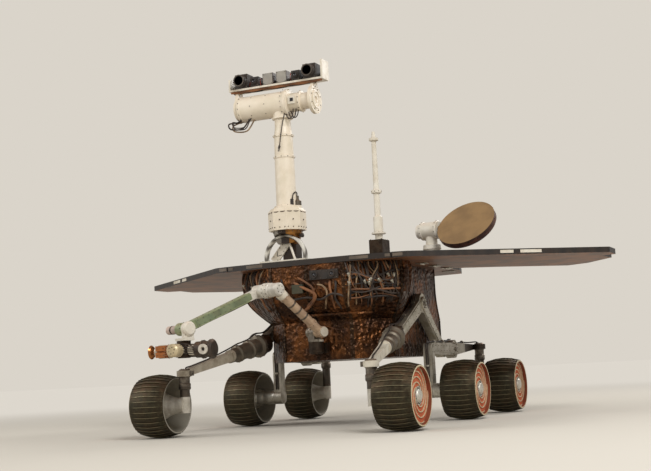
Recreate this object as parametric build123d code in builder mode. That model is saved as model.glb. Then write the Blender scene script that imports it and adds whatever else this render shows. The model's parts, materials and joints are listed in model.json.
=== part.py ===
from build123d import *
import os
from math import cos, pi, radians, sin

# Planetary rover, standing on six wheels. Millimetres, +X forward, +Y to port, +Z up.
# The origin is on the ground, at the middle of the whole machine's length and width.
# A name ending in _dx is a distance forward of the middle axle.

os.makedirs("parts", exist_ok=True)

# Running gaps
shaft_gap = 0.05
face_gap = 0.3
panel_gap = 4.0

# Wheels
wheel_radius = 130.0
cleat_edge = 117.0
cleat_thick = 2.4
cleat_inset = 2.0
cleat_count = 36
drum_crown = 126.0
rim_radius = 114.0
wheel_width = 160.0
drum_bore = 108.0
web_inner = 42.0
web_thick = 12.0
foam_thick = 10.0
flexure_count = 5
flexure_turn = 270.0
flexure_steps = 12
flexure_width = 3.2
flexure_height = 4.0
hub_radius = 36.0
cap_radius = 27.0
cap_height = 10.0
cap_flat = 8.0
cap_groove = 4.0
half_track = 530.0
front_axle_dx = 790.0
rear_axle_dx = -630.0
axle_radius = 12.0
axle_depth = 30.0

# Drive housing inside each wheel
barrel_radius = 32.0
cone_root = 38.0
cone_mouth = 74.0
cone_length = 88.0
cone_wall = 6.0
cone_gap = 8.0
cone_lip = 12.0
neck_length = 30.0

# Steering
steer_inset = 38.0
steer_radius = 25.0
steer_height = 64.0
steer_waist = 3.0
steer_cap = 6.0
steer_pin_radius = 12.0
steer_pin_length = 26.0
front_motor_z = 206.0
rear_motor_z = 268.0
post_radius = 20.0
clamp_wall = 6.0
clamp_height = 24.0

# Rockers and bogies
rocker_y = 320.0
rocker_thick = 38.0
pivot_dx = -50.0
pivot_z = 520.0
pivot_radius = 44.0
pivot_cover = 30.0
cover_height = 9.0
ring_dx = 292.0
ring_z = 365.0
ring_radius = 50.0
ring_thick = 14.0
socket_radius = 41.0
socket_length = 58.0
bogie_dx = -315.0
bogie_z = 312.0
bogie_radius = 42.0
bogie_thick = 38.0
bogie_spacer = 14.0
leg_root = 29.0
leg_tip = 22.0
rib_inset = 8.0
rib_height = 3.0
middle_leg_z = 318.0
turned_radius = 36.0
turned_part = 0.42
spar_root = 40.0
spar_tip = 26.0

# Body
belly_z = 285.0
waist_z = 452.0
flare_z = 600.0
bulge_steps = 4
belly_nose_dx = 360.0
belly_nose_y = 160.0
belly_side_dx = 200.0
belly_side_y = 290.0
belly_back_dx = -420.0
belly_tail_dx = -500.0
belly_tail_y = 200.0
flare_nose_dx = 450.0
flare_nose_y = 170.0
flare_side_dx = 300.0
flare_side_y = 378.0
flare_back_dx = 205.0
hull_side_dx = 90.0
hull_side_y = 298.0
hull_back_dx = -360.0
hull_tail_dx = -460.0
lip_z = 474.0
lip_thick = 8.0
lip_reach = 18.0
lip_start_y = -40.0
lip_end_y = 240.0
pivot_boss = 34.0
hold_dx = -90.0
hold_spacing_x = 500.0
hold_spacing_y = 360.0
hold_radius = 5.0
hold_depth = 24.0

# Deck
deck_top_z = 715.0
deck_thick = 24.0
hinge_y = 385.0
rear_hinge_dx = -482.0
deck_nose_dx = 455.0
deck_nose_y = 200.0
deck_side_dx = 435.0
panel_back_dx = -740.0
panel_back_y = 200.0
panel_side_dx = -720.0
panel_side_y = 320.0
wing_fore_dx = 420.0
wing_fore_y = 450.0
tip_fore_dx = -200.0
tip_aft_dx = -330.0
tip_y = 1160.0
notch_dx = -352.0
notch_y = 1096.0
outer_dx = -500.0
outer_y = 1110.0
swept_dx = -700.0
swept_y = 960.0
heel_y = 850.0
inner_dx = -480.0
inner_y = 560.0
root_aft_dx = -345.0

# Mast
mast_dx = 420.0
mast_y = -90.0
collar_z = 847.0
collar_height = 96.0
collar_radius = 82.0
collar_chamfer = 14.0
mast_pin_radius = 30.0
mast_pin_length = 38.0
tube_radius = 44.0
seam_radius = 41.5
seam_z = 1168.0
neck_radius = 35.0
neck_z = 1262.0
tube_top_z = 1338.0
gimbal_z = 792.0
gimbal_radius = 62.0
pillar_length = 56.0
pillar_width = 64.0
drum_z = 1405.0
drum_radius = 57.5
drum_small_radius = 40.0
drum_start = -200.0
drum_band = 30.0
drum_end = 150.0
ear_radius = 62.0
ear_thick = 14.0
ear_pin_radius = 14.0
ear_pin_length = 18.0
ear_dimple = 5.0
bar_start = -240.0
bar_end = 215.0
bar_z = 1485.0
bar_height = 84.0
bar_back_height = 40.0
bar_half_depth = 35.0
bar_wall = 8.0
coil_dx = 433.0
coil_y = -98.0
coil_z = 733.0
coil_radius = 92.0
coil_tube = 6.0
coil_pitch = 10.0
coil_turns = 3
foot_thick = 6.0

# Rod antenna
rod_dx = 370.0
rod_y = 310.0

# Dish antenna
dish_base_dx = -400.0
dish_base_y = 280.0
yoke_z = 800.0
dish_axis_z = 885.0
dish_reach = 200.0
dish_radius = 145.0
dish_thick = 45.0
dish_heading = -11.5
dish_rise = 43.0
yoke_pin_radius = 14.0
yoke_drum_radius = 44.0
yoke_drum_start = -72.0
yoke_drum_end = 46.0
dish_pin_radius = 12.0

# Arm
shoulder_dx = 430.0
shoulder_y = 45.0
shoulder_z = 404.0
arm_heading = -25.0
upper_length = 290.0
upper_rise = 38.0
upper_radius = 19.0
fore_offset = 115.0
fore_length = 416.0
fore_drop = 21.2
turret_hang = 84.0
turret_front = 96.0
shoulder_radius = 32.0
shoulder_barrel = 75.0
turn_shift = 31.5
table_drop = 16.0
eye_radius = 24.0
eye_half = 20.0
arm_pin_radius = 10.0
elbow_radius = 27.0
elbow_collar = 32.0
elbow_split = 45.0
fore_width = 34.0
wrist_radius = 26.0
wrist_split = 20.0
wrist_motor_radius = 17.0
wrist_motor_reach = 100.0
hub_top = 46.0

# Directions of the arm: outwards along its heading, and across to port
up = Vector(0, 0, 1)
arm_out = Vector(cos(radians(arm_heading)), sin(radians(arm_heading)), 0)
arm_side = Vector(-sin(radians(arm_heading)), cos(radians(arm_heading)), 0)
arm_run = upper_length * cos(radians(upper_rise)) + fore_length * cos(radians(fore_drop))

# Length of the machine, from the wings' aft points to the turret's front
rear_dx = -760.0
front_reach_dx = shoulder_dx + arm_run * arm_out.X - fore_offset * arm_side.X + turret_front
mid_x = -(front_reach_dx + rear_dx) / 2


def at(dx, y, z):
    """Point at a distance forward of the middle axle."""
    return Vector(mid_x + dx, y, z)


def outline(port):
    """Whole outline in the model's own X from its port half, listed from front to rear."""
    whole = port + [(dx, -y) for dx, y in reversed(port)]
    return [(mid_x + dx, y) for dx, y in whole]


def taper(start, end, half_start, half_end):
    """Four corners of a bar that narrows from one point to another."""
    line = (Vector(*end) - Vector(*start)).normalized()
    side = Vector(-line.Y, line.X)
    a, b = Vector(*start), Vector(*end)
    corners = (a + side * half_start, b + side * half_end, b - side * half_end, a - side * half_start)
    return [(c.X, c.Y) for c in corners]


def turned(start, direction, profile, mode=Mode.ADD):
    """Solid of revolution. The profile lists (radius, distance along the direction from start)."""
    axis = Vector(direction).normalized()
    across = Vector(0, 0, 1) if abs(axis.Z) < 0.9 else Vector(1, 0, 0)
    radial = (across - axis * across.dot(axis)).normalized()
    plane = Plane(origin=start, x_dir=radial, z_dir=radial.cross(axis))
    with BuildSketch(plane, mode=Mode.PRIVATE) as section:
        Polygon(*profile, align=None)
    revolve(section.sketch, axis=Axis(start, axis), mode=mode)


def rod(start, end, radius, mode=Mode.ADD):
    """Round bar between two points."""
    line = end - start
    turned(start, line, [(0, 0), (radius, 0), (radius, line.length), (0, line.length)], mode)


def square(centre, line, width, height):
    """Rectangle across a line, its width level."""
    plane = Plane(origin=centre, x_dir=up.cross(line).normalized(), z_dir=line.normalized())
    with BuildSketch(plane, mode=Mode.PRIVATE) as section:
        Rectangle(width, height)
    return section.sketch


def beam(start, end, width, height, mode=Mode.ADD):
    """Square bar between two points, its width level."""
    line = end - start
    extrude(square(start, line, width, height), amount=line.length, mode=mode)


def spar(start, end, size_start, size_end):
    """Square bar that narrows from one point to another."""
    line = end - start
    loft([square(start, line, size_start, size_start).face(), square(end, line, size_end, size_end).face()])


def block(centre, length, width, height, mode=Mode.ADD):
    """Square block with its sides along X, Y and Z."""
    with Locations(Location(centre)):
        Box(length, width, height, mode=mode)


def save(piece, name):
    """Name a finished piece and write it."""
    piece.part.label = name
    export_step(piece.part, f"parts/{name}.step")


sides = {"left": 1, "right": -1}
web_outer = web_inner + web_thick
foam_face = web_outer + foam_thick
flexure_face = foam_face + flexure_height
cone_end = web_inner - cone_gap
steer_y = half_track - wheel_width / 2 - steer_inset
bogie_y = rocker_y + rocker_thick / 2 + bogie_spacer + bogie_thick / 2
half = wheel_width / 2

# One cleat: a thin straight rib along the drum, crowned like the drum
with BuildPart() as cleat:
    cleat_half = half - cleat_inset
    crown = [(cleat_edge + (wheel_radius - cleat_edge) * (1 - k * k), k * cleat_half) for k in (-1, -0.5, 0, 0.5, 1)]
    with BuildSketch(Plane.XZ):
        Polygon((drum_bore + cleat_thick, -cleat_half), *crown, (drum_bore + cleat_thick, cleat_half), align=None)
    extrude(amount=cleat_thick / 2, both=True)

# One spiral flexure from the hub to the drum's bore, drawn as two edges of three-point arcs
spiral_start = hub_radius - flexure_width
spiral_end = drum_bore + flexure_width


def spiral(shift):
    """Points on an edge of the flexure, at equal steps of its turn."""
    points = []
    for step in range(flexure_steps + 1):
        part = step / flexure_steps
        radius = spiral_start + (spiral_end - spiral_start) * part + shift
        angle = radians(flexure_turn * part)
        points.append((radius * cos(angle), radius * sin(angle)))
    return points


with BuildPart() as flexure:
    inner, outer = spiral(-flexure_width / 2), spiral(flexure_width / 2)
    with BuildSketch(Plane.XY.offset(foam_face)):
        with BuildLine():
            for edge in (inner, outer):
                for step in range(0, flexure_steps, 2):
                    ThreePointArc(*edge[step:step + 3])
            Line(inner[0], outer[0])
            Line(inner[-1], outer[-1])
        make_face()
    extrude(amount=flexure_height)

# One wheel about its own axis, its outer side upwards: drum, web, hub with its cap, flexures and cleats
with BuildPart() as wheel_pattern:
    bore = axle_radius + shaft_gap
    bore_start = cone_end + 1
    bore_end = cone_end + axle_depth + 2
    with BuildSketch(Plane.XZ):
        with BuildLine():
            ThreePointArc((rim_radius, -half), (drum_crown, 0), (rim_radius, half))
            Polyline(
                (rim_radius, half), (drum_bore, half), (drum_bore, web_outer),
                (hub_radius, web_outer), (hub_radius, flexure_face),
                (cap_radius + cap_groove, flexure_face), (cap_radius + cap_groove, web_outer),
                (cap_radius, web_outer), (cap_radius, flexure_face),
            )
            ThreePointArc(
                (cap_radius, flexure_face),
                (cap_radius * 0.76, flexure_face + cap_height * 0.7),
                (cap_flat, flexure_face + cap_height),
            )
            Polyline(
                (cap_flat, flexure_face + cap_height), (0, flexure_face + cap_height),
                (0, bore_end), (bore, bore_end),
                (bore, bore_start), (cap_radius, bore_start), (hub_radius, web_inner),
                (drum_bore, web_inner), (drum_bore, -half), (rim_radius, -half),
            )
        make_face()
    revolve(axis=Axis.Z)
    with PolarLocations(0, cleat_count):
        add(cleat.part)
    with PolarLocations(0, flexure_count):
        add(flexure.part)


def drive_housing(hub, side, start):
    """Drive unit in a wheel: barrel, cone open towards the web, and the wheel's axle.
    Distances run outwards from the wheel's middle plane, from start."""
    root = cone_end - cone_length
    turned(hub + Vector(0, side * start, 0), (0, side, 0), [(r, a - start) for r, a in (
        (0, start), (barrel_radius, start), (barrel_radius, root - neck_length), (cone_root, root),
        (cone_mouth, cone_end - cone_lip), (cone_mouth, cone_end), (cone_mouth - cone_wall, cone_end),
        (cone_mouth - cone_wall, cone_end - cone_lip), (cone_root, root + cone_lip * 2),
        (barrel_radius, root + cone_lip * 2), (barrel_radius, cone_end), (axle_radius, cone_end),
        (axle_radius, cone_end + axle_depth), (0, cone_end + axle_depth),
    )])


# Wheels: place, distance forward of the middle axle, height of the steering motor's foot if steered
wheel_rows = (
    ("front", front_axle_dx, front_motor_z),
    ("middle", 0.0, None),
    ("rear", rear_axle_dx, rear_motor_z),
)

for place, axle_dx, motor_z in wheel_rows:
    for hand, side in sides.items():
        hub = at(axle_dx, side * half_track, wheel_radius)
        with BuildPart() as wheel:
            with Locations(Plane(origin=hub, x_dir=(1, 0, 0), z_dir=(0, side, 0)).location):
                add(wheel_pattern.part)
        save(wheel, f"wheel_{place}_{hand}")

        with BuildPart() as foam:
            turned(hub, (0, side, 0), [
                (hub_radius + face_gap, web_outer), (drum_bore - face_gap, web_outer),
                (drum_bore - face_gap, foam_face), (hub_radius + face_gap, foam_face),
            ])
        save(foam, f"wheel_foam_{place}_{hand}")

        if motor_z:
            # Knuckle: drive housing, and a post up to the pin that turns in the steering motor
            with BuildPart() as knuckle:
                drive_housing(hub, side, steer_y - half_track)
                turned(at(axle_dx, side * steer_y, 0), up, [
                    (0, wheel_radius - barrel_radius), (post_radius, wheel_radius - barrel_radius),
                    (post_radius, motor_z - 16), (steer_radius, motor_z - 10),
                    (steer_radius, motor_z - face_gap), (steer_pin_radius, motor_z - face_gap),
                    (steer_pin_radius, motor_z + steer_pin_length), (0, motor_z + steer_pin_length),
                ])
            save(knuckle, f"knuckle_{place}_{hand}")
        else:
            with BuildPart() as housing:
                drive_housing(hub, side, bogie_y + bogie_thick / 2 - half_track)
            save(housing, f"drive_housing_{hand}")

# Steering motors: upright housings with a waist, which the arms clamp at the top
with BuildPart() as steering_motors:
    for axle_dx, motor_z in ((front_axle_dx, front_motor_z), (rear_axle_dx, rear_motor_z)):
        for side in sides.values():
            bore = steer_pin_radius + shaft_gap
            clamp_foot = steer_height - clamp_height
            turned(at(axle_dx, side * steer_y, motor_z), up, [
                (bore, 0), (steer_radius, 0), (steer_radius, 10), (steer_radius - steer_waist, 13),
                (steer_radius - steer_waist, clamp_foot - 5), (steer_radius, clamp_foot - 2),
                (steer_radius, steer_height), (steer_radius - steer_cap, steer_height + steer_cap),
                (0, steer_height + steer_cap), (0, steer_pin_length + 1), (bore, steer_pin_length + 1),
            ])
save(steering_motors, "steering_motors")


def clamp_point(axle_dx, side, motor_z):
    """Middle of the clamp round a steering motor."""
    return at(axle_dx, side * steer_y, motor_z + steer_height - clamp_height / 2)


def clamp_ring(centre):
    """Clamp round a steering motor, cut to the motor's radius."""
    foot = centre - up * clamp_height / 2
    rod(foot, foot + up * clamp_height, steer_radius + clamp_wall)
    rod(foot - up * clamp_height, foot + up * 2 * clamp_height, steer_radius, Mode.SUBTRACT)


for hand, side in sides.items():
    ring = at(ring_dx, side * rocker_y, ring_z)
    reach = clamp_point(front_axle_dx, side, front_motor_z) - ring
    along = reach.normalized()

    # Rocker: two box legs from the body pivot, one to the ring joint and one to the bogie
    with BuildPart() as rocker:
        pivot = (mid_x + pivot_dx, pivot_z)
        heel = (mid_x + bogie_dx, bogie_z)
        socket = ring - along * socket_length / 2
        with BuildSketch(Plane.XZ.offset(-side * rocker_y)):
            Polygon(*taper(pivot, (socket.X, socket.Z), leg_root, leg_tip), align=None)
            Polygon(*taper(pivot, heel, leg_root, leg_tip), align=None)
            with Locations(pivot):
                Circle(pivot_radius)
            with Locations(heel):
                Circle(bogie_radius - 6)
        extrude(amount=rocker_thick / 2, both=True)
        # Raised panel along each leg's outer face
        with BuildSketch(Plane.XZ.offset(-side * (rocker_y + rocker_thick / 2))):
            Polygon(*taper(pivot, (socket.X, socket.Z), leg_root - rib_inset, leg_tip - rib_inset), align=None)
            Polygon(*taper(pivot, heel, leg_root - rib_inset, leg_tip - rib_inset), align=None)
        extrude(amount=-side * rib_height)
        turned(ring - along * socket_length, along, [
            (0, 0), (socket_radius - 8, 0), (socket_radius, 8), (socket_radius, socket_length - 14),
            (socket_radius + 5, socket_length - 12), (socket_radius + 5, socket_length), (0, socket_length),
        ])
        cover = at(pivot_dx, side * rocker_y, pivot_z)
        cover_top = rocker_thick / 2 + cover_height
        turned(cover, (0, side, 0), [
            (0, 0), (pivot_cover, 0), (pivot_cover, cover_top - 4), (pivot_cover - 4, cover_top),
            (pivot_cover * 0.6, cover_top), (pivot_cover * 0.6, cover_top - 3), (0, cover_top - 3),
        ])
        boss = at(bogie_dx, side * (rocker_y + rocker_thick / 2), bogie_z)
        rod(boss, boss + Vector(0, side * bogie_spacer, 0), leg_root)
    save(rocker, f"rocker_{hand}")

    # Front arm: flange at the ring joint, turned root with bands, tapered square spar, clamp
    with BuildPart() as front_arm:
        root_end = reach.length * turned_part
        band = turned_radius + 5
        turned(ring, along, [
            (0, 0), (ring_radius, 0), (ring_radius, ring_thick), (turned_radius, ring_thick + 6),
            (turned_radius, root_end * 0.28), (band, root_end * 0.3), (band, root_end * 0.36),
            (turned_radius - 2, root_end * 0.38), (turned_radius - 3, root_end * 0.66),
            (band - 4, root_end * 0.68), (band - 4, root_end * 0.75), (turned_radius - 6, root_end * 0.77),
            (turned_radius - 8, root_end), (0, root_end),
        ])
        spar(ring + reach * (turned_part - 0.02), ring + reach, spar_root, spar_tip)
        clamp_ring(ring + reach)
    save(front_arm, f"front_arm_{hand}")

    # Bogie: one plate with the pivot, the middle wheel's leg and the rear steering clamp
    with BuildPart() as bogie:
        knee = (mid_x, middle_leg_z)
        tail = clamp_point(rear_axle_dx, side, rear_motor_z)
        with BuildSketch(Plane.XZ.offset(-side * bogie_y)):
            Polygon(*taper(heel, knee, leg_root, leg_tip), align=None)
            Polygon(*taper(heel, (tail.X, tail.Z), leg_root, clamp_height / 2), align=None)
            Polygon(*taper(knee, (mid_x, wheel_radius), leg_tip, leg_tip), align=None)
            with Locations(heel):
                Circle(bogie_radius)
            with Locations(knee):
                Circle(leg_tip)
            with Locations((mid_x, wheel_radius)):
                Circle(barrel_radius)
        extrude(amount=bogie_thick / 2, both=True)
        # Raised panels along the outer face, and a cover on the pivot
        with BuildSketch(Plane.XZ.offset(-side * (bogie_y + bogie_thick / 2))):
            Polygon(*taper(heel, knee, leg_root - rib_inset, leg_tip - rib_inset), align=None)
            Polygon(*taper(knee, (mid_x, wheel_radius * 1.4), leg_tip - rib_inset, leg_tip - rib_inset), align=None)
            with Locations(heel):
                Circle(bogie_radius - rib_inset)
        extrude(amount=-side * rib_height)
        beam(at(rear_axle_dx, side * bogie_y, tail.Z), tail, clamp_height, clamp_height)
        clamp_ring(tail)
    save(bogie, f"bogie_{hand}")

# Body: a gold-wrapped box that flares to the deck. Columns: distance forward, half width.
belly = [
    (belly_nose_dx, belly_nose_y), (belly_side_dx, belly_side_y), (belly_back_dx, belly_side_y),
    (belly_tail_dx, belly_tail_y),
]
waist = belly[:2] + [(belly_side_dx * 0.8, belly_side_y), (belly_side_dx * 0.45, belly_side_y)] + belly[2:]
flare = [
    (flare_nose_dx, flare_nose_y), (flare_side_dx, flare_side_y), (flare_back_dx, flare_side_y),
    (hull_side_dx, hull_side_y), (hull_back_dx, hull_side_y - 2), (hull_tail_dx, belly_tail_y),
]
roof_z = deck_top_z - deck_thick

with BuildPart() as body_lower:
    with BuildSketch(Plane.XY.offset(belly_z)):
        Polygon(*outline(belly), align=None)
    extrude(amount=waist_z - belly_z)
    # Hold-down holes in the belly
    for dx in (hold_dx - hold_spacing_x / 2, hold_dx + hold_spacing_x / 2):
        for y in (-hold_spacing_y / 2, hold_spacing_y / 2):
            rod(at(dx, y, belly_z - 1), at(dx, y, belly_z + hold_depth), hold_radius, Mode.SUBTRACT)
save(body_lower, "body_lower")


def bulged(part):
    """Outline between waist and flare: the hull swells quickly above the waist, then stands upright."""
    swell = sin(part * pi / 2)
    return [(a + (c - a) * swell, b + (d - b) * swell) for (a, b), (c, d) in zip(waist, flare)]


with BuildPart() as body_upper:
    for step in range(bulge_steps + 1):
        with BuildSketch(Plane.XY.offset(waist_z + (flare_z - waist_z) * step / bulge_steps)):
            Polygon(*outline(bulged(step / bulge_steps)), align=None)
    loft(ruled=True)
    with BuildSketch(Plane.XY.offset(flare_z)):
        Polygon(*outline(flare), align=None)
    extrude(amount=roof_z - flare_z)
    # Shelf across the nose, following the hull
    (nose_dx, nose_y), (side_dx, side_y) = bulged((lip_z - waist_z) / (flare_z - waist_z))[:2]
    slope = (nose_dx - side_dx) / (side_y - nose_y)
    end_dx = nose_dx - (lip_end_y - nose_y) * slope
    with BuildSketch(Plane.XY.offset(lip_z)):
        Polygon(*[(mid_x + dx, y) for dx, y in (
            (nose_dx - lip_reach, lip_start_y), (nose_dx + lip_reach, lip_start_y),
            (nose_dx + lip_reach, nose_y), (end_dx + lip_reach, lip_end_y), (end_dx - lip_reach, lip_end_y),
            (nose_dx - lip_reach, nose_y),
        )], align=None)
    extrude(amount=lip_thick)
    # Bosses that carry the rockers
    rod(at(pivot_dx, rocker_thick / 2 - rocker_y, pivot_z),
        at(pivot_dx, rocker_y - rocker_thick / 2, pivot_z), pivot_boss)
save(body_upper, "body_upper")

# Deck panels. Columns: distance forward, half width.
deck_edge = hinge_y - panel_gap / 2
wing_root = hinge_y + panel_gap / 2
tail_edge = rear_hinge_dx - panel_gap / 2

with BuildPart() as deck:
    with BuildSketch(Plane.XY.offset(roof_z)):
        Polygon(*outline([(deck_nose_dx, deck_nose_y), (deck_side_dx, deck_edge),
                          (rear_hinge_dx + panel_gap / 2, deck_edge)]), align=None)
    extrude(amount=deck_thick)
save(deck, "deck")

with BuildPart() as rear_panel:
    with BuildSketch(Plane.XY.offset(roof_z)):
        Polygon(*outline([(tail_edge, deck_edge), (panel_side_dx, panel_side_y), (panel_back_dx, panel_back_y)]),
                align=None)
    extrude(amount=deck_thick)
save(rear_panel, "rear_panel")

wing = [
    (deck_side_dx, wing_root), (wing_fore_dx, wing_fore_y), (tip_fore_dx, tip_y), (tip_aft_dx, tip_y),
    (notch_dx, notch_y), (outer_dx, outer_y), (swept_dx, swept_y), (rear_dx, heel_y), (inner_dx, inner_y),
    (root_aft_dx, wing_root),
]
for hand, side in sides.items():
    with BuildPart() as panel:
        with BuildSketch(Plane.XY.offset(roof_z)):
            Polygon(*[(mid_x + dx, side * y) for dx, y in wing], align=None)
        extrude(amount=deck_thick)
    save(panel, f"wing_{hand}")

# Hinges under the panels, latched
hinge_leaf = (60.0, 44.0, 4.0)
hinge_pin = 4.0
with BuildPart() as deck_hinges:
    leaf_z = roof_z - hinge_leaf[2] / 2
    for side in sides.values():
        for dx in (-290, -115, 60):
            block(at(dx, side * hinge_y, leaf_z), *hinge_leaf)
            knuckle_z = roof_z - hinge_leaf[2]
            rod(at(dx - hinge_leaf[0] / 2, side * hinge_y, knuckle_z),
                at(dx + hinge_leaf[0] / 2, side * hinge_y, knuckle_z), hinge_pin)
        for y in (110, 330):
            block(at(rear_hinge_dx, side * y, leaf_z), hinge_leaf[1] / 2, hinge_leaf[0], hinge_leaf[2])
save(deck_hinges, "deck_hinges")

# Mast: gimbal under the collar, on a pillar, with a channel where the cable coil passes
foot_top = deck_top_z + foot_thick
coil_centre = at(coil_dx, coil_y, coil_z)
coil_half = coil_pitch * (coil_turns - 1) / 2 + coil_tube
with BuildPart() as mast_post:
    turned(at(mast_dx, mast_y, gimbal_z), up, [
        (0, 0), (gimbal_radius - 18, 0), (gimbal_radius - 12, 8), (gimbal_radius, collar_z - gimbal_z - 14),
        (gimbal_radius, collar_z - gimbal_z), (0, collar_z - gimbal_z),
    ])
    channel_in = coil_radius - coil_tube - 2
    channel_out = coil_radius + coil_tube + 2
    channel = coil_half * 2 + 40
    turned(coil_centre - Vector(coil_half + 1, 0, 0), (1, 0, 0), [
        (channel_in, 0), (channel_out, 0), (channel_out, channel), (channel_in, channel),
    ], Mode.SUBTRACT)
    nose = coil_dx + coil_half - 2
    block(at(nose + gimbal_radius / 2, mast_y, coil_z + coil_radius - gimbal_radius),
          gimbal_radius, gimbal_radius * 3, gimbal_radius * 2, Mode.SUBTRACT)
    pillar_dx = coil_dx - coil_half - pillar_length / 2 - 6
    block(at(pillar_dx, mast_y, (foot_top + gimbal_z + 6) / 2), pillar_length, pillar_width,
          gimbal_z + 6 - foot_top)
save(mast_post, "mast_post")

# Bracket: base plate at the deck's edge, broad slanted plate and thin strut inside the coil
with BuildPart() as mast_bracket:
    plate_end = deck_nose_dx - 4
    plate_start = pillar_dx - pillar_length / 2 - 8
    block(at((plate_start + plate_end) / 2, coil_y - 12, deck_top_z + foot_thick / 2),
          plate_end - plate_start, 2 * coil_radius + 32, foot_thick)
    strut_dx = coil_dx - coil_half - 3
    beam(at(strut_dx, coil_y - 67, coil_z - 12), at(strut_dx, coil_y, coil_z + 66), 8, 36)
    rod(at(coil_dx, coil_y + 44, coil_z - 16), at(coil_dx - 8, coil_y + 14, coil_z + 66), 5)
    block(at(strut_dx, coil_y, deck_top_z - 20), 120, 4 * coil_radius, 40, Mode.SUBTRACT)
    add(mast_post.part, mode=Mode.SUBTRACT)
save(mast_bracket, "mast_bracket")

# Cable coil: turns side by side over the gimbal, standing on the base plate
with BuildPart() as mast_coil:
    with BuildSketch(Plane(origin=coil_centre, x_dir=(1, 0, 0), z_dir=(0, -1, 0))):
        with Locations(*[((turn - (coil_turns - 1) / 2) * coil_pitch, coil_radius) for turn in range(coil_turns)]):
            Circle(coil_tube)
    revolve(axis=Axis(coil_centre, (1, 0, 0)))
    block(Vector(coil_centre.X, coil_centre.Y, foot_top - coil_radius), coil_half * 4, coil_radius * 3,
          coil_radius * 2, Mode.SUBTRACT)
save(mast_coil, "mast_coil")

mast_top = collar_z + collar_height
with BuildPart() as mast_collar:
    for foot, height, lean in ((collar_z, collar_height - collar_chamfer, 0),
                               (mast_top - collar_chamfer, collar_chamfer, 35)):
        with BuildSketch(Plane(origin=at(mast_dx, mast_y, foot))) as ring_face:
            RegularPolygon(collar_radius, 8, rotation=22.5)
        extrude(amount=height, taper=lean)
    socket_foot = at(mast_dx, mast_y, mast_top - mast_pin_length - 2)
    rod(socket_foot, socket_foot + up * 60, mast_pin_radius + shaft_gap, Mode.SUBTRACT)
save(mast_collar, "mast_collar")

with BuildPart() as mast_tube:
    base = at(mast_dx, mast_y, mast_top)
    height = tube_top_z - mast_top
    seam = seam_z - mast_top
    neck = neck_z - mast_top
    turned(base, up, [
        (0, -mast_pin_length), (mast_pin_radius, -mast_pin_length), (mast_pin_radius, face_gap),
        (tube_radius + 10, face_gap), (tube_radius + 10, 10), (tube_radius, 16), (seam_radius + 1, seam - 4),
        (seam_radius + 4, seam - 3), (seam_radius + 4, seam + 5), (seam_radius, seam + 6),
        (seam_radius - 1, neck - 4), (seam_radius + 3, neck - 3), (seam_radius + 3, neck + 5),
        (seam_radius - 2, neck + 8), (neck_radius, neck + 40), (neck_radius, height), (0, height),
    ])
    motor = base + Vector(-14, tube_radius, face_gap)
    turned(motor, up, [(0, 0), (19, 0), (19, 30), (15, 36), (9, 36), (9, 54), (0, 54)])
save(mast_tube, "mast_tube")

with BuildPart() as head_drum:
    length = drum_end - drum_start
    band = drum_band - drum_start
    ear_bore = ear_pin_radius + shaft_gap
    deep = ear_pin_length + 1
    # Columns: radius, distance along the drum. Wide part with end bands, window part, motor part.
    turned(at(mast_dx, mast_y + drum_start, drum_z), (0, 1, 0), [
        (ear_bore, 0), (drum_radius - 6, 0), (drum_radius, 6), (drum_radius, 16), (drum_radius - 2, 18),
        (drum_radius - 2, band - 12), (drum_radius, band - 10), (drum_radius + 4, band),
        (drum_radius + 4, band + 10), (drum_small_radius + 1, band + 14), (drum_small_radius + 1, band + 62),
        (drum_small_radius + 6, band + 64), (drum_small_radius + 6, band + 70), (drum_small_radius - 4, band + 72),
        (drum_small_radius - 4, length - 8), (drum_small_radius, length - 6), (drum_small_radius, length),
        (ear_bore, length), (ear_bore, length - deep), (0, length - deep), (0, deep), (ear_bore, deep),
    ])
    rod(at(mast_dx, mast_y, tube_top_z), at(mast_dx, mast_y, drum_z), neck_radius + 6)
    rod(at(mast_dx, mast_y, tube_top_z), at(mast_dx, mast_y, tube_top_z + 8), neck_radius + 10)
save(head_drum, "head_drum")

# Ears that carry the camera bar, with the pins of the tilt axis
with BuildPart() as camera_ears:
    for end, way in ((drum_start, -1), (drum_end, 1)):
        face = mast_y + end + way * face_gap
        disc = ear_radius if way > 0 else ear_radius - 14
        with BuildSketch(Plane.XZ.offset(-face)):
            with Locations((mid_x + mast_dx, drum_z)):
                Circle(disc)
            Polygon(*taper((mid_x + mast_dx, drum_z), (mid_x + mast_dx, bar_z), ear_radius - 16, 18),
                    align=None)
        extrude(amount=-way * ear_thick)
        outer_face = face + way * ear_thick
        turned(at(mast_dx, outer_face, drum_z), (0, way, 0), [
            (disc * 0.62, -1), (disc * 0.62, 3), (disc * 0.52, 3), (disc * 0.52, -1),
        ])
        rod(at(mast_dx, outer_face - way * ear_dimple, drum_z), at(mast_dx, outer_face + way, drum_z),
            ear_pin_radius, Mode.SUBTRACT)
        pin = at(mast_dx, face + way * (ear_thick - ear_dimple) / 2, drum_z)
        rod(pin, at(mast_dx, face - way * ear_pin_length, drum_z), ear_pin_radius)
save(camera_ears, "camera_ears")

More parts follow.
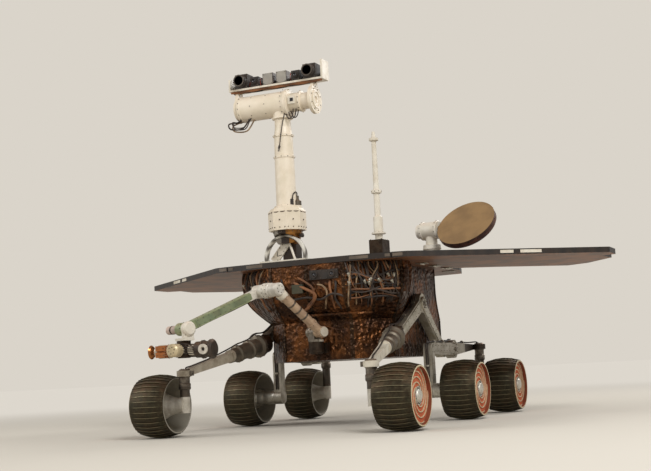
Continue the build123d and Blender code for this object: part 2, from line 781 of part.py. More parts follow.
# Camera bar: shelf, low back wall, end plates and the two square electronics boxes between the cameras
with BuildPart() as camera_bar:
    length = bar_end - bar_start
    middle = at(mast_dx, mast_y + (bar_start + bar_end) / 2, bar_z)
    depth = bar_half_depth * 2
    block(middle + up * bar_wall / 2, depth, length, bar_wall)
    block(middle + Vector(bar_wall / 2 - bar_half_depth, 0, bar_back_height / 2), bar_wall, length, bar_back_height)
    block(at(mast_dx, mast_y + bar_end - bar_wall / 2, bar_z + bar_height / 2), depth, bar_wall, bar_height)
    block(at(mast_dx, mast_y + bar_start + bar_wall / 2, bar_z + bar_height / 3), depth, bar_wall, bar_height / 1.5)
    for y in (-60, 6):
        block(at(mast_dx, mast_y + y + 12.5, bar_z + bar_wall + 26), depth - 8, 50, 52)
save(camera_bar, "camera_bar")

# Cameras. Columns: place along the bar, body width, body height, lens radius, lens length
camera_rows = ((-177, 60, 64, 28.5, 26), (-112, 40, 44, 13, 14), (88, 40, 44, 13, 14), (153, 60, 64, 28.5, 26))
with BuildPart() as cameras:
    for y, width, height, lens_radius, lens_length in camera_rows:
        depth = bar_half_depth * 2 - bar_wall
        centre = at(mast_dx + bar_wall / 2, mast_y + y, bar_z + bar_wall + height / 2)
        block(centre, depth, width, height)
        # Stepped hood, hollow at the mouth
        front = centre + Vector(depth / 2 - 1, 0, 0)
        turned(front, (1, 0, 0), [
            (0, 0), (lens_radius, 0), (lens_radius, lens_length * 0.55), (lens_radius - 2, lens_length * 0.6),
            (lens_radius - 2, lens_length), (lens_radius * 0.72, lens_length),
            (lens_radius * 0.6, lens_length * 0.7), (0, lens_length * 0.7),
        ])
save(cameras, "cameras")

# Rod antenna. Columns: radius, height above the deck.
with BuildPart() as rod_antenna:
    turned(at(rod_dx, rod_y, deck_top_z), up, [
        (0, 0), (16, 0), (16, 84), (30, 86), (30, 92), (20, 94), (20, 158), (13, 165), (13, 257), (22, 261),
        (22, 273), (12, 277), (10, 482), (20, 486), (20, 496), (9, 500), (6, 525), (0, 525),
    ])
save(rod_antenna, "rod_antenna")

with BuildPart() as antenna_bracket:
    base = at(rod_dx, rod_y, deck_top_z)
    block(base + up * 30, 84, 60, 60)
    rod(base - up * 5, base + up * 70, 16, Mode.SUBTRACT)
save(antenna_bracket, "antenna_bracket")

# Dish antenna
dish_ahead = Vector(cos(radians(dish_heading)), sin(radians(dish_heading)), 0)
dish_across = Vector(-sin(radians(dish_heading)), cos(radians(dish_heading)), 0)
dish_face = dish_ahead * cos(radians(dish_rise)) + up * sin(radians(dish_rise))
dish_pivot = at(dish_base_dx, dish_base_y, dish_axis_z)

with BuildPart() as dish_base:
    height = yoke_z - deck_top_z
    turned(at(dish_base_dx, dish_base_y, deck_top_z), up, [
        (0, 0), (54, 0), (54, 8), (38, 14), (38, height * 0.45), (42, height * 0.48), (42, height * 0.6),
        (38, height * 0.63), (38, height - 10), (44, height - 6), (44, height),
        (yoke_pin_radius + shaft_gap, height), (yoke_pin_radius + shaft_gap, height - 32), (0, height - 32),
    ])
save(dish_base, "dish_base")

with BuildPart() as dish_yoke:
    turned(at(dish_base_dx, dish_base_y, yoke_z), up, [
        (0, -30), (yoke_pin_radius, -30), (yoke_pin_radius, face_gap), (42, face_gap), (42, 14), (28, 18),
        (28, dish_axis_z - yoke_z), (0, dish_axis_z - yoke_z),
    ])
    drum_length = yoke_drum_end - yoke_drum_start
    bore = dish_pin_radius + shaft_gap
    turned(dish_pivot + dish_across * yoke_drum_start, dish_across, [
        (0, 0), (28, 0), (34, 4), (34, 22), (yoke_drum_radius, 26), (yoke_drum_radius, 36),
        (yoke_drum_radius - 3, 38), (yoke_drum_radius - 3, drum_length - 14),
        (yoke_drum_radius, drum_length - 12), (yoke_drum_radius, drum_length - 4),
        (yoke_drum_radius - 4, drum_length), (0, drum_length),
    ])
    rod(dish_pivot + dish_across * (yoke_drum_end - 30), dish_pivot + dish_across * (yoke_drum_end + 10),
        bore, Mode.SUBTRACT)
save(dish_yoke, "dish_yoke")

with BuildPart() as dish:
    centre = dish_pivot + dish_across * dish_reach
    turned(centre - dish_face * dish_thick / 2, dish_face, [
        (0, 0), (dish_radius - 30, 0), (dish_radius - 4, 12), (dish_radius, 18), (dish_radius, dish_thick),
        (0, dish_thick),
    ])
    pin_start = yoke_drum_end - 28
    shaft = dish_reach - dish_radius - pin_start + 20
    turned(dish_pivot + dish_across * pin_start, dish_across, [
        (0, 0), (dish_pin_radius, 0), (dish_pin_radius, 28 + face_gap), (18, 28 + face_gap),
        (18, shaft), (0, shaft),
    ])
save(dish, "dish")

# Arm
shoulder = at(shoulder_dx, shoulder_y, shoulder_z)
upper_line = arm_out * cos(radians(upper_rise)) + up * sin(radians(upper_rise))
fore_line = arm_out * cos(radians(fore_drop)) - up * sin(radians(fore_drop))
elbow = shoulder + upper_line * upper_length
fore_root = elbow - arm_side * fore_offset
wrist = fore_root + fore_line * fore_length
turret = wrist - up * turret_hang
table_z = shoulder_z - eye_radius - table_drop
turn_foot = Vector(shoulder.X, shoulder.Y, table_z) - arm_side * turn_shift

with BuildPart() as arm_mount:
    turned(turn_foot, -up, [
        (arm_pin_radius + shaft_gap, 0), (shoulder_radius, 0), (shoulder_radius, 44), (shoulder_radius - 8, 52),
        (0, 52), (0, 28), (arm_pin_radius + shaft_gap, 28),
    ])
    mount_end = turn_foot.X - mid_x - shoulder_radius + 4
    block(at((belly_nose_dx + mount_end) / 2, turn_foot.Y, table_z - 26), mount_end - belly_nose_dx, 76, 44)
save(arm_mount, "arm_mount")

# Shoulder: turntable, saddle and a level barrel that ends in the pin of the upper arm's eye
with BuildPart() as arm_shoulder:
    turned(turn_foot, up, [
        (0, -26), (arm_pin_radius, -26), (arm_pin_radius, face_gap), (shoulder_radius, face_gap),
        (shoulder_radius, 10), (0, 10),
    ])
    barrel_start = eye_half + face_gap
    barrel_line = -arm_side
    turned(shoulder + barrel_line * barrel_start, barrel_line, [
        (0, 0), (eye_radius, 0), (eye_radius, 12), (eye_radius - 3, 14), (eye_radius - 3, 34), (eye_radius, 36),
        (eye_radius, shoulder_barrel - barrel_start - 5), (eye_radius - 5, shoulder_barrel - barrel_start),
        (0, shoulder_barrel - barrel_start),
    ])
    saddle = shoulder + barrel_line * barrel_start
    with BuildSketch(Plane(origin=saddle, x_dir=arm_out, z_dir=barrel_line), mode=Mode.PRIVATE) as web:
        with Locations((0, (shoulder_z - table_z - 5) / -2 if barrel_line.cross(arm_out).Z > 0 else
                        (shoulder_z - table_z - 5) / 2)):
            Rectangle(eye_radius * 2 - 8, shoulder_z - table_z - 5)
    extrude(web.sketch, amount=shoulder_barrel - barrel_start - 14)
    pin_end = eye_half + face_gap
    rod(saddle + barrel_line * 5, shoulder + arm_side * (pin_end + 2), arm_pin_radius)
    rod(shoulder + arm_side * pin_end, shoulder + arm_side * (pin_end + 7), eye_radius - 4)
save(arm_shoulder, "arm_shoulder")

with BuildPart() as upper_arm:
    rod(shoulder - arm_side * eye_half, shoulder + arm_side * eye_half, eye_radius)
    rod(shoulder, elbow, upper_radius)
    # Bands where the tube enters its end fittings
    for part in (0.2, 0.82):
        middle = shoulder + (elbow - shoulder) * part
        rod(middle - upper_line * 7, middle + upper_line * 7, upper_radius + 3)
    turned(elbow + arm_side * 26, -arm_side, [
        (0, 0), (elbow_radius - 5, 0), (elbow_radius, 5), (elbow_radius, elbow_split + 10),
        (elbow_radius + 3, elbow_split + 12), (elbow_radius + 3, elbow_split + 26), (0, elbow_split + 26),
    ])
    rod(elbow - arm_side * elbow_split, elbow - arm_side * (elbow_split + 28), axle_radius)
    rod(shoulder - arm_side * 60, shoulder + arm_side * 60, arm_pin_radius + shaft_gap, Mode.SUBTRACT)
save(upper_arm, "upper_arm")

with BuildPart() as forearm:
    start = elbow - arm_side * (elbow_split + face_gap)
    barrel = fore_offset + 24 - elbow_split
    turned(start, -arm_side, [
        (0, 0), (elbow_collar, 0), (elbow_collar, 26), (elbow_radius + 1, 30), (elbow_radius + 1, barrel - 6),
        (elbow_radius - 5, barrel), (0, barrel),
    ])
    beam(fore_root, wrist, fore_width, fore_width)
    turned(wrist + arm_side * wrist_split, -arm_side, [
        (0, 0), (wrist_radius, 0), (wrist_radius, wrist_split + 24), (wrist_motor_radius, wrist_split + 28),
        (wrist_motor_radius, wrist_split + wrist_motor_reach), (0, wrist_split + wrist_motor_reach),
    ])
    rod(start + arm_side * 5, start - arm_side * 30, axle_radius + shaft_gap, Mode.SUBTRACT)
    rod(wrist + arm_side * (wrist_split + 5), wrist + arm_side * (wrist_split - 26),
        arm_pin_radius + shaft_gap, Mode.SUBTRACT)
save(forearm, "forearm")

with BuildPart() as arm_wrist:
    start = wrist + arm_side * (wrist_split + face_gap)
    turned(start, arm_side, [
        (0, 0), (wrist_radius, 0), (wrist_radius, 8), (wrist_radius + 3, 10), (wrist_radius + 3, 24),
        (wrist_radius - 4, 30), (0, 30),
    ])
    rod(start, start - arm_side * 25, arm_pin_radius)
    drop = Plane(origin=start, x_dir=arm_out, z_dir=arm_side)
    with BuildSketch(drop, mode=Mode.PRIVATE) as plate:
        with Locations((0, hub_top / 2)):
            Rectangle(44, hub_top)
    extrude(plate.sketch, amount=20)
    foot_plane = Plane(origin=wrist - up * hub_top, x_dir=arm_out, z_dir=up)
    with BuildSketch(foot_plane, mode=Mode.PRIVATE) as shelf:
        with Locations((0, (wrist_split + face_gap + 20 - 25) / 2)):
            Rectangle(48, wrist_split + face_gap + 20 + 25)
    extrude(shelf.sketch, amount=10)
    rod(wrist - up * (hub_top + 5), wrist - up * (hub_top - 8), arm_pin_radius + shaft_gap, Mode.SUBTRACT)
save(arm_wrist, "arm_wrist")

with BuildPart() as turret_hub:
    top = wrist - up * hub_top
    depth = turret_hang + 30 - hub_top
    turned(top, -up, [
        (0, -7), (arm_pin_radius, -7), (arm_pin_radius, face_gap), (28, face_gap), (28, depth - 4),
        (24, depth), (0, depth),
    ])
save(turret_hub, "turret_hub")

# Instruments round the hub. Columns: direction, profile of (radius, distance from the hub's axis)
instrument_rows = (
    ((0, 1, 0), [(0, 27), (20, 27), (20, 56), (32, 60), (32, 84), (36, 86), (36, 94), (32, 96), (32, 118),
                 (38, 122), (38, 132), (30, 138), (0, 138)]),
    ((0, -1, 0), [(0, 27), (22, 27), (22, 56), (27, 60), (27, 112), (18, 116), (18, 128), (8, 130), (8, 138),
                  (22, 143), (28, 150), (25, 152), (20, 147), (0, 142)]),
    ((1, 0, 0), [(0, 27), (18, 27), (18, 44), (26, 48), (26, turret_front - 6), (20, turret_front), (0, turret_front)]),
    ((-1, 0, 0), [(0, 27), (20, 27), (20, 50), (27, 54), (27, 92), (0, 92)]),
)
with BuildPart() as instruments:
    for direction, profile in instrument_rows:
        turned(turret, direction, profile)
    # Each instrument's foot is cut to the hub
    rod(turret - up * 40, turret + up * 40, 28, Mode.SUBTRACT)
    # Ring-shaped window on the port instrument, electronics boxes on the starboard one
    turned(turret + Vector(30, 110, 0), (1, 0, 0), [(0, 0), (20, 0), (20, 16), (9, 16), (7, 8), (0, 8)])
    for drop in (-14, 12):
        block(turret + Vector(24, -86, drop), 30, 44, 20)
save(instruments, "instruments")

# Hazard cameras under the deck's nose and at the tail. Columns: direction, hull face, sides
with BuildPart() as hazard_cameras:
    for way, face_dx, places in ((1, flare_nose_dx, (45, 125)), (-1, -hull_tail_dx, (-50, 50))):
        middle = sum(places) / 2
        camera_z = flare_z + 44
        block(at(way * face_dx, middle, camera_z), 20, 130, 40)
        for y in places:
            start = at(way * face_dx, y, camera_z)
            turned(start, (way, 0, 0), [(0, 0), (14, 0), (14, 20), (10, 20), (8, 16), (0, 16)])
    # Their seats are cut to the hull
    add(body_upper.part, mode=Mode.SUBTRACT)
save(hazard_cameras, "hazard_cameras")

# Calibration target on the deck
with BuildPart() as calibration_target:
    base = at(-330, -250, deck_top_z)
    block(base + up * 5, 80, 80, 10)
    rod(base + up * 10, base + up * 58, 5)
    turned(base + up * 54, up, [(0, 0), (9, 4), (9, 10), (0, 16)])
save(calibration_target, "calibration_target")
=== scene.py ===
"""Planetary rover: finishes, cells, films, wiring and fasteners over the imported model.

Metres, +X forward, +Y to port, +Z up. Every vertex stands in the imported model's own frame.
"""

import json
import logging
from dataclasses import dataclass, field
from enum import Enum
from math import cos, pi, radians, sin
from random import Random
from typing import Sequence

import bpy
from mathutils import Matrix, Vector, noise


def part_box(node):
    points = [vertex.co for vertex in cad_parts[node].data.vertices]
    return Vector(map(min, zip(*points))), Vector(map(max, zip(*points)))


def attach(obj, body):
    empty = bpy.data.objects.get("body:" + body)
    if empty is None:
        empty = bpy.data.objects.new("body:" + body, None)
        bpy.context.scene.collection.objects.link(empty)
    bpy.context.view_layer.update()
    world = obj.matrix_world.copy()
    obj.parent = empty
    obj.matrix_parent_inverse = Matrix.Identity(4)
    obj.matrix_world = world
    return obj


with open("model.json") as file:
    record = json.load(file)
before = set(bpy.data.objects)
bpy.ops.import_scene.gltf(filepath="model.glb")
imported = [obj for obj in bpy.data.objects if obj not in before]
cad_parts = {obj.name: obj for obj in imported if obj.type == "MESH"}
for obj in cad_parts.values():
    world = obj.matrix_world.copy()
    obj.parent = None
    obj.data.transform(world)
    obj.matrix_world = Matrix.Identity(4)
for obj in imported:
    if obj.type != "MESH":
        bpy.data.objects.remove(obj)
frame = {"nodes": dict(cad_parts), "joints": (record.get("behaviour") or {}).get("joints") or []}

log = logging.getLogger("rover")
MM = 0.001
AHEAD = Vector((1, 0, 0))
PORT = Vector((0, 1, 0))
UP = Vector((0, 0, 1))
# Radians that the wave texture turns by over one metre at scale 1: its bands are 2 pi times the way of one
# radian apart, and 7.3 times where they are diagonal
WAVE_RATE = 20.0
# Settings of a node that mixes two colours and of one that stretches a range smoothly
RGBA = {"data_type": "RGBA"}
SMOOTH = {"interpolation_type": "SMOOTHSTEP"}
Colour = tuple[float, float, float, float]
Node = bpy.types.Node
Socket = bpy.types.NodeSocket
Tree = bpy.types.NodeTree


def linear(hex_colour: str) -> Colour:
    """Turn an sRGB hex colour to linear light.

    Args:
        hex_colour: six hex digits, such as "C8A070".

    Returns:
        The linear red, green, blue and alpha.
    """
    parts = [int(hex_colour[i:i + 2], 16) / 255 for i in (0, 2, 4)]
    rgb = [p / 12.92 if p <= 0.04045 else ((p + 0.055) / 1.055) ** 2.4 for p in parts]
    return (rgb[0], rgb[1], rgb[2], 1.0)


def per_metre(size_mm: float) -> float:
    """Scale of a pattern whose features are this many millimetres wide."""
    return 1000.0 / size_mm


def add(tree: Tree, kind: str, settings: dict | None = None) -> Node:
    """Add a node with its settings and links.

    Args:
        tree: the node tree.
        kind: the node's type, without the ShaderNode before it.
        settings: attributes by lower-case name, then inputs by number or capitalised name. An input's
            value is plain, a hex colour, a socket to link or a node whose first output is linked.

    Returns:
        The new node.
    """
    node = tree.nodes.new(f"ShaderNode{kind}")
    for key, value in (settings or {}).items():
        if isinstance(value, (Node, Socket)):
            tree.links.new(value.outputs[0] if isinstance(value, Node) else value, node.inputs[key])
        elif isinstance(key, int) or key[0].isupper():
            node.inputs[key].default_value = linear(value) if isinstance(value, str) else value
        else:
            setattr(node, key, value)
    return node


class Finish:
    """Base of the finishes: each is made once into a material."""

    title: str

    def material(self) -> bpy.types.Material:
        """Make the material, or return the one made before."""
        made = bpy.data.materials.get(self.title)
        if made is None:
            made = bpy.data.materials.new(self.title)
            made.use_nodes = True
            tree = made.node_tree
            tree.nodes.clear()
            shader = add(tree, "BsdfPrincipled", self.dress(tree, add(tree, "TexCoord")))
            add(tree, "OutputMaterial", {"Surface": shader})
        return made

    def dress(self, tree: Tree, coords: Node) -> dict:
        """Add the nodes that give the finish its look.

        Args:
            tree: the material's node tree.
            coords: the texture coordinates.

        Returns:
            The shader's settings, as add() takes them.
        """
        raise NotImplementedError

    @staticmethod
    def dusted(tree: Tree, colour: Socket, coords: Node, amount: float) -> Socket:
        """Lay fine red dust on the faces that look up, patchy at about 40 mm.

        Args:
            tree: the material's node tree.
            colour: the clean surface's colour.
            coords: the texture coordinates.
            amount: how much of the clean colour the thickest dust hides.

        Returns:
            The dusty colour's socket.
        """
        facing = add(tree, "SeparateXYZ", {0: coords.outputs["Normal"]}).outputs["Z"]
        patches = add(tree, "TexNoise", {"Scale": per_metre(40), "Detail": 5.0, "Roughness": 0.65,
                                         "Vector": coords.outputs["Object"]})
        lying = add(tree, "MapRange", SMOOTH | {0: facing, 1: 0.1, 2: 0.9, 3: 0.25, 4: 1.0})
        thick = add(tree, "MapRange", SMOOTH | {0: patches, 1: 0.3, 2: 0.75, 3: 0.2, 4: 1.0})
        factor = add(tree, "Math", {"operation": "MULTIPLY", 0: lying, 1: thick})
        factor = add(tree, "Math", {"operation": "MULTIPLY", 0: factor, 1: amount})
        return add(tree, "Mix", RGBA | {0: factor, 6: colour, 7: "B98058"}).outputs[2]


@dataclass(frozen=True)
class Enamel(Finish):
    """Enamel sprayed on machined aluminium and baked: satin, with a fine peel and chalky wear."""

    title: str
    tone: str
    shade: str
    roughness: float = 0.42
    dust: float = 0.35

    def dress(self, tree: Tree, coords: Node) -> dict:
        """Two close tones in 70 mm clouds, 2.5 mm peel, dust on top.

        Args:
            tree: the material's node tree.
            coords: the texture coordinates.

        Returns:
            The shader's settings.
        """
        place = coords.outputs["Object"]
        cloud = add(tree, "TexNoise", {"Scale": per_metre(70), "Detail": 4.0, "Vector": place})
        peel = add(tree, "TexNoise", {"Scale": per_metre(2.5), "Vector": place})
        worn = add(tree, "MapRange", SMOOTH | {0: cloud, 1: 0.35, 2: 0.7})
        colour = add(tree, "Mix", RGBA | {0: worn, 6: self.tone, 7: self.shade}).outputs[2]
        low, high = self.roughness - 0.07, self.roughness + 0.1
        return {"Normal": add(tree, "Bump", {"Strength": 0.25, "Distance": 0.0003, "Height": peel}),
                "Roughness": add(tree, "MapRange", SMOOTH | {0: cloud, 1: 0.3, 2: 0.7, 3: low, 4: high}),
                "Base Color": self.dusted(tree, colour, coords, self.dust)}


@dataclass(frozen=True)
class BareMetal(Finish):
    """Machined metal, anodised or passivated: a soft sheen with fine tool marks and rubbed spots."""

    title: str
    tone: str
    shade: str
    roughness: float = 0.38
    dust: float = 0.25

    def dress(self, tree: Tree, coords: Node) -> dict:
        """Tool marks 0.8 mm apart, drawn as faint bands 22 mm apart to show, under 25 mm rubbed spots.

        Args:
            tree: the material's node tree.
            coords: the texture coordinates.

        Returns:
            The shader's settings.
        """
        place = coords.outputs["Object"]
        spots = add(tree, "TexNoise", {"Scale": per_metre(25), "Detail": 6.0, "Roughness": 0.7,
                                       "Vector": place})
        marks = add(tree, "TexWave", {"bands_direction": "DIAGONAL", "Scale": per_metre(3) / WAVE_RATE,
                                      "Distortion": 2.0, "Vector": place}).outputs["Fac"]
        rubbed = add(tree, "MapRange", SMOOTH | {0: spots, 1: 0.35, 2: 0.65})
        colour = add(tree, "Mix", RGBA | {0: rubbed, 6: self.tone, 7: self.shade}).outputs[2]
        low, high = self.roughness - 0.1, self.roughness + 0.15
        return {"Roughness": add(tree, "MapRange", SMOOTH | {0: spots, 1: 0.25, 2: 0.75, 3: low, 4: high}),
                "Normal": add(tree, "Bump", {"Strength": 0.12, "Distance": 0.0002, "Height": marks}),
                "Base Color": self.dusted(tree, colour, coords, self.dust), "Metallic": 0.9}


@dataclass(frozen=True)
class CrinkledFilm(Finish):
    """Polyimide film with vapour-coated aluminium behind: amber foil, hand-folded into sharp creases."""

    title: str
    tone: str = "764824"
    shade: str = "2C1B12"
    # Colour of the painted glints: fine patches lightened to stand for highlights on the foil
    painted_glint: str = "C49A62"

    def dress(self, tree: Tree, coords: Node) -> dict:
        """Creased facets 18 mm wide with 6 mm wrinkles in them, over brown clouds 120 mm wide, with painted
        shade and glints.

        Args:
            tree: the material's node tree.
            coords: the texture coordinates.

        Returns:
            The shader's settings.
        """
        place = coords.outputs["Object"]
        bend = add(tree, "TexNoise", {"Scale": per_metre(50), "Vector": place}).outputs["Color"]
        warped = add(tree, "Mix", {"data_type": "VECTOR", 0: 0.03, 4: place, 5: bend}).outputs[1]
        facets = add(tree, "TexVoronoi", {"Scale": per_metre(18), "Vector": warped}).outputs
        fine = add(tree, "TexNoise", {"Scale": per_metre(6), "Detail": 4.0, "Vector": warped})
        cloud = add(tree, "TexNoise", {"Scale": per_metre(120), "Detail": 5.0, "Roughness": 0.6,
                                       "Vector": place})
        grey = add(tree, "SeparateXYZ", {0: facets["Color"]})
        brown = add(tree, "MapRange", SMOOTH | {0: cloud, 1: 0.34, 2: 0.58})
        colour = add(tree, "Mix", RGBA | {0: brown, 6: self.tone, 7: self.shade}).outputs[2]
        # Random facets darkened toward the shade colour: painted shade of the creases
        painted_facet_shade = add(tree, "MapRange", SMOOTH | {0: grey, 1: 0.3, 2: 1.0, 3: 0.0, 4: 0.5})
        colour = add(tree, "Mix", RGBA | {0: painted_facet_shade, 6: colour, 7: self.shade}).outputs[2]
        # Fine 6 mm patches lightened toward the glint colour: painted highlights
        painted_highlight_mask = add(tree, "MapRange", SMOOTH | {0: fine, 1: 0.6, 2: 0.78, 3: 0.0, 4: 0.4})
        colour = add(tree, "Mix", RGBA | {0: painted_highlight_mask, 6: colour, 7: self.painted_glint}).outputs[2]
        creases = add(tree, "Bump", {"Strength": 0.9, "Distance": 0.008, "Height": facets["Distance"]})
        wrinkles = add(tree, "Bump", {"Strength": 0.6, "Distance": 0.003, "Height": fine, "Normal": creases})
        return {"Normal": wrinkles, "Metallic": 0.85, "Roughness": 0.34,
                "Base Color": self.dusted(tree, colour, coords, 0.2)}


@dataclass(frozen=True)
class PanelSkin(Finish):
    """Carbon face sheets on honeycomb: black under the cells and at the edge, film-bronze below."""

    title: str

    def dress(self, tree: Tree, coords: Node) -> dict:
        """The finish follows which way a face looks. Fibre tows 3 mm wide, drawn 38 mm apart to show.

        Args:
            tree: the material's node tree.
            coords: the texture coordinates.

        Returns:
            The shader's settings.
        """
        place = coords.outputs["Object"]
        facing = add(tree, "SeparateXYZ", {0: coords.outputs["Normal"]}).outputs["Z"]
        tows = add(tree, "TexWave", {"Scale": per_metre(6) / WAVE_RATE, "Distortion": 1.0,
                                     "Vector": place}).outputs["Fac"]
        cloud = add(tree, "TexNoise", {"Scale": per_metre(90), "Detail": 5.0, "Vector": place})
        brown = add(tree, "MapRange", SMOOTH | {0: cloud, 1: 0.35, 2: 0.65})
        below = add(tree, "Mix", RGBA | {0: brown, 6: "7A4A24", 7: "4F3019"}).outputs[2]
        black = add(tree, "Mix", RGBA | {0: tows, 6: "0F0D0B", 7: "1D1813"}).outputs[2]
        above = add(tree, "MapRange", SMOOTH | {0: facing, 1: -0.6, 2: -0.4})
        colour = add(tree, "Mix", RGBA | {0: above, 6: below, 7: black}).outputs[2]
        return {"Normal": add(tree, "Bump", {"Strength": 0.15, "Distance": 0.0004, "Height": tows}),
                "Roughness": 0.5, "Base Color": self.dusted(tree, colour, coords, 0.12)}


@dataclass(frozen=True)
class CellGlass(Finish):
    """Gallium cells under cover glass: blue-black, with silver collector lines."""

    title: str

    def dress(self, tree: Tree, coords: Node) -> dict:
        """Collector lines 1 mm apart, drawn 25 mm apart to show, across each cell.

        Args:
            tree: the material's node tree.
            coords: the texture coordinates.

        Returns:
            The shader's settings.
        """
        place = coords.outputs["Object"]
        lines = add(tree, "TexWave", {"bands_direction": "Y", "Scale": per_metre(4) / WAVE_RATE,
                                      "Vector": place}).outputs["Fac"]
        cloud = add(tree, "TexNoise", {"Scale": per_metre(120), "Detail": 3.0, "Vector": place})
        paler = add(tree, "MapRange", SMOOTH | {0: cloud, 1: 0.3, 2: 0.7})
        glass = add(tree, "Mix", RGBA | {0: paler, 6: "10142A", 7: "1B2140"}).outputs[2]
        silver = add(tree, "MapRange", SMOOTH | {0: lines, 1: 0.93, 2: 1.0})
        colour = add(tree, "Mix", RGBA | {0: silver, 6: glass, 7: "5E626E"}).outputs[2]
        return {"Roughness": 0.38, "Coat Weight": 0.15, "Coat Roughness": 0.2,
                "Base Color": self.dusted(tree, colour, coords, 0.16)}


@dataclass(frozen=True)
class CellFoam(Finish):
    """Open-cell silicone foam cut flat: matt orange-red with small torn cells."""

    title: str

    def dress(self, tree: Tree, coords: Node) -> dict:
        """Cells about 2 mm wide, drawn 4 mm to show, with painted shade in their pits and paler walls.

        Args:
            tree: the material's node tree.
            coords: the texture coordinates.

        Returns:
            The shader's settings.
        """
        place = coords.outputs["Object"]
        cells = add(tree, "TexVoronoi", {"Scale": per_metre(4), "Vector": place}).outputs["Distance"]
        cloud = add(tree, "TexNoise", {"Scale": per_metre(35), "Detail": 4.0, "Vector": place})
        darker = add(tree, "MapRange", SMOOTH | {0: cloud, 1: 0.3, 2: 0.7})
        colour = add(tree, "Mix", RGBA | {0: darker, 6: "B4532E", 7: "9A3F24"}).outputs[2]
        # Pits darker and cell walls paler: painted shade in the foam's hollows
        painted_pit_shade = add(tree, "MapRange", SMOOTH | {0: cells, 1: 0.35, 2: 0.8})
        colour = add(tree, "Mix", RGBA | {0: painted_pit_shade, 6: colour, 7: "C97048"}).outputs[2]
        return {"Normal": add(tree, "Bump", {"Strength": 0.5, "Distance": 0.0012, "Height": cells}),
                "Roughness": 0.92, "Base Color": colour}


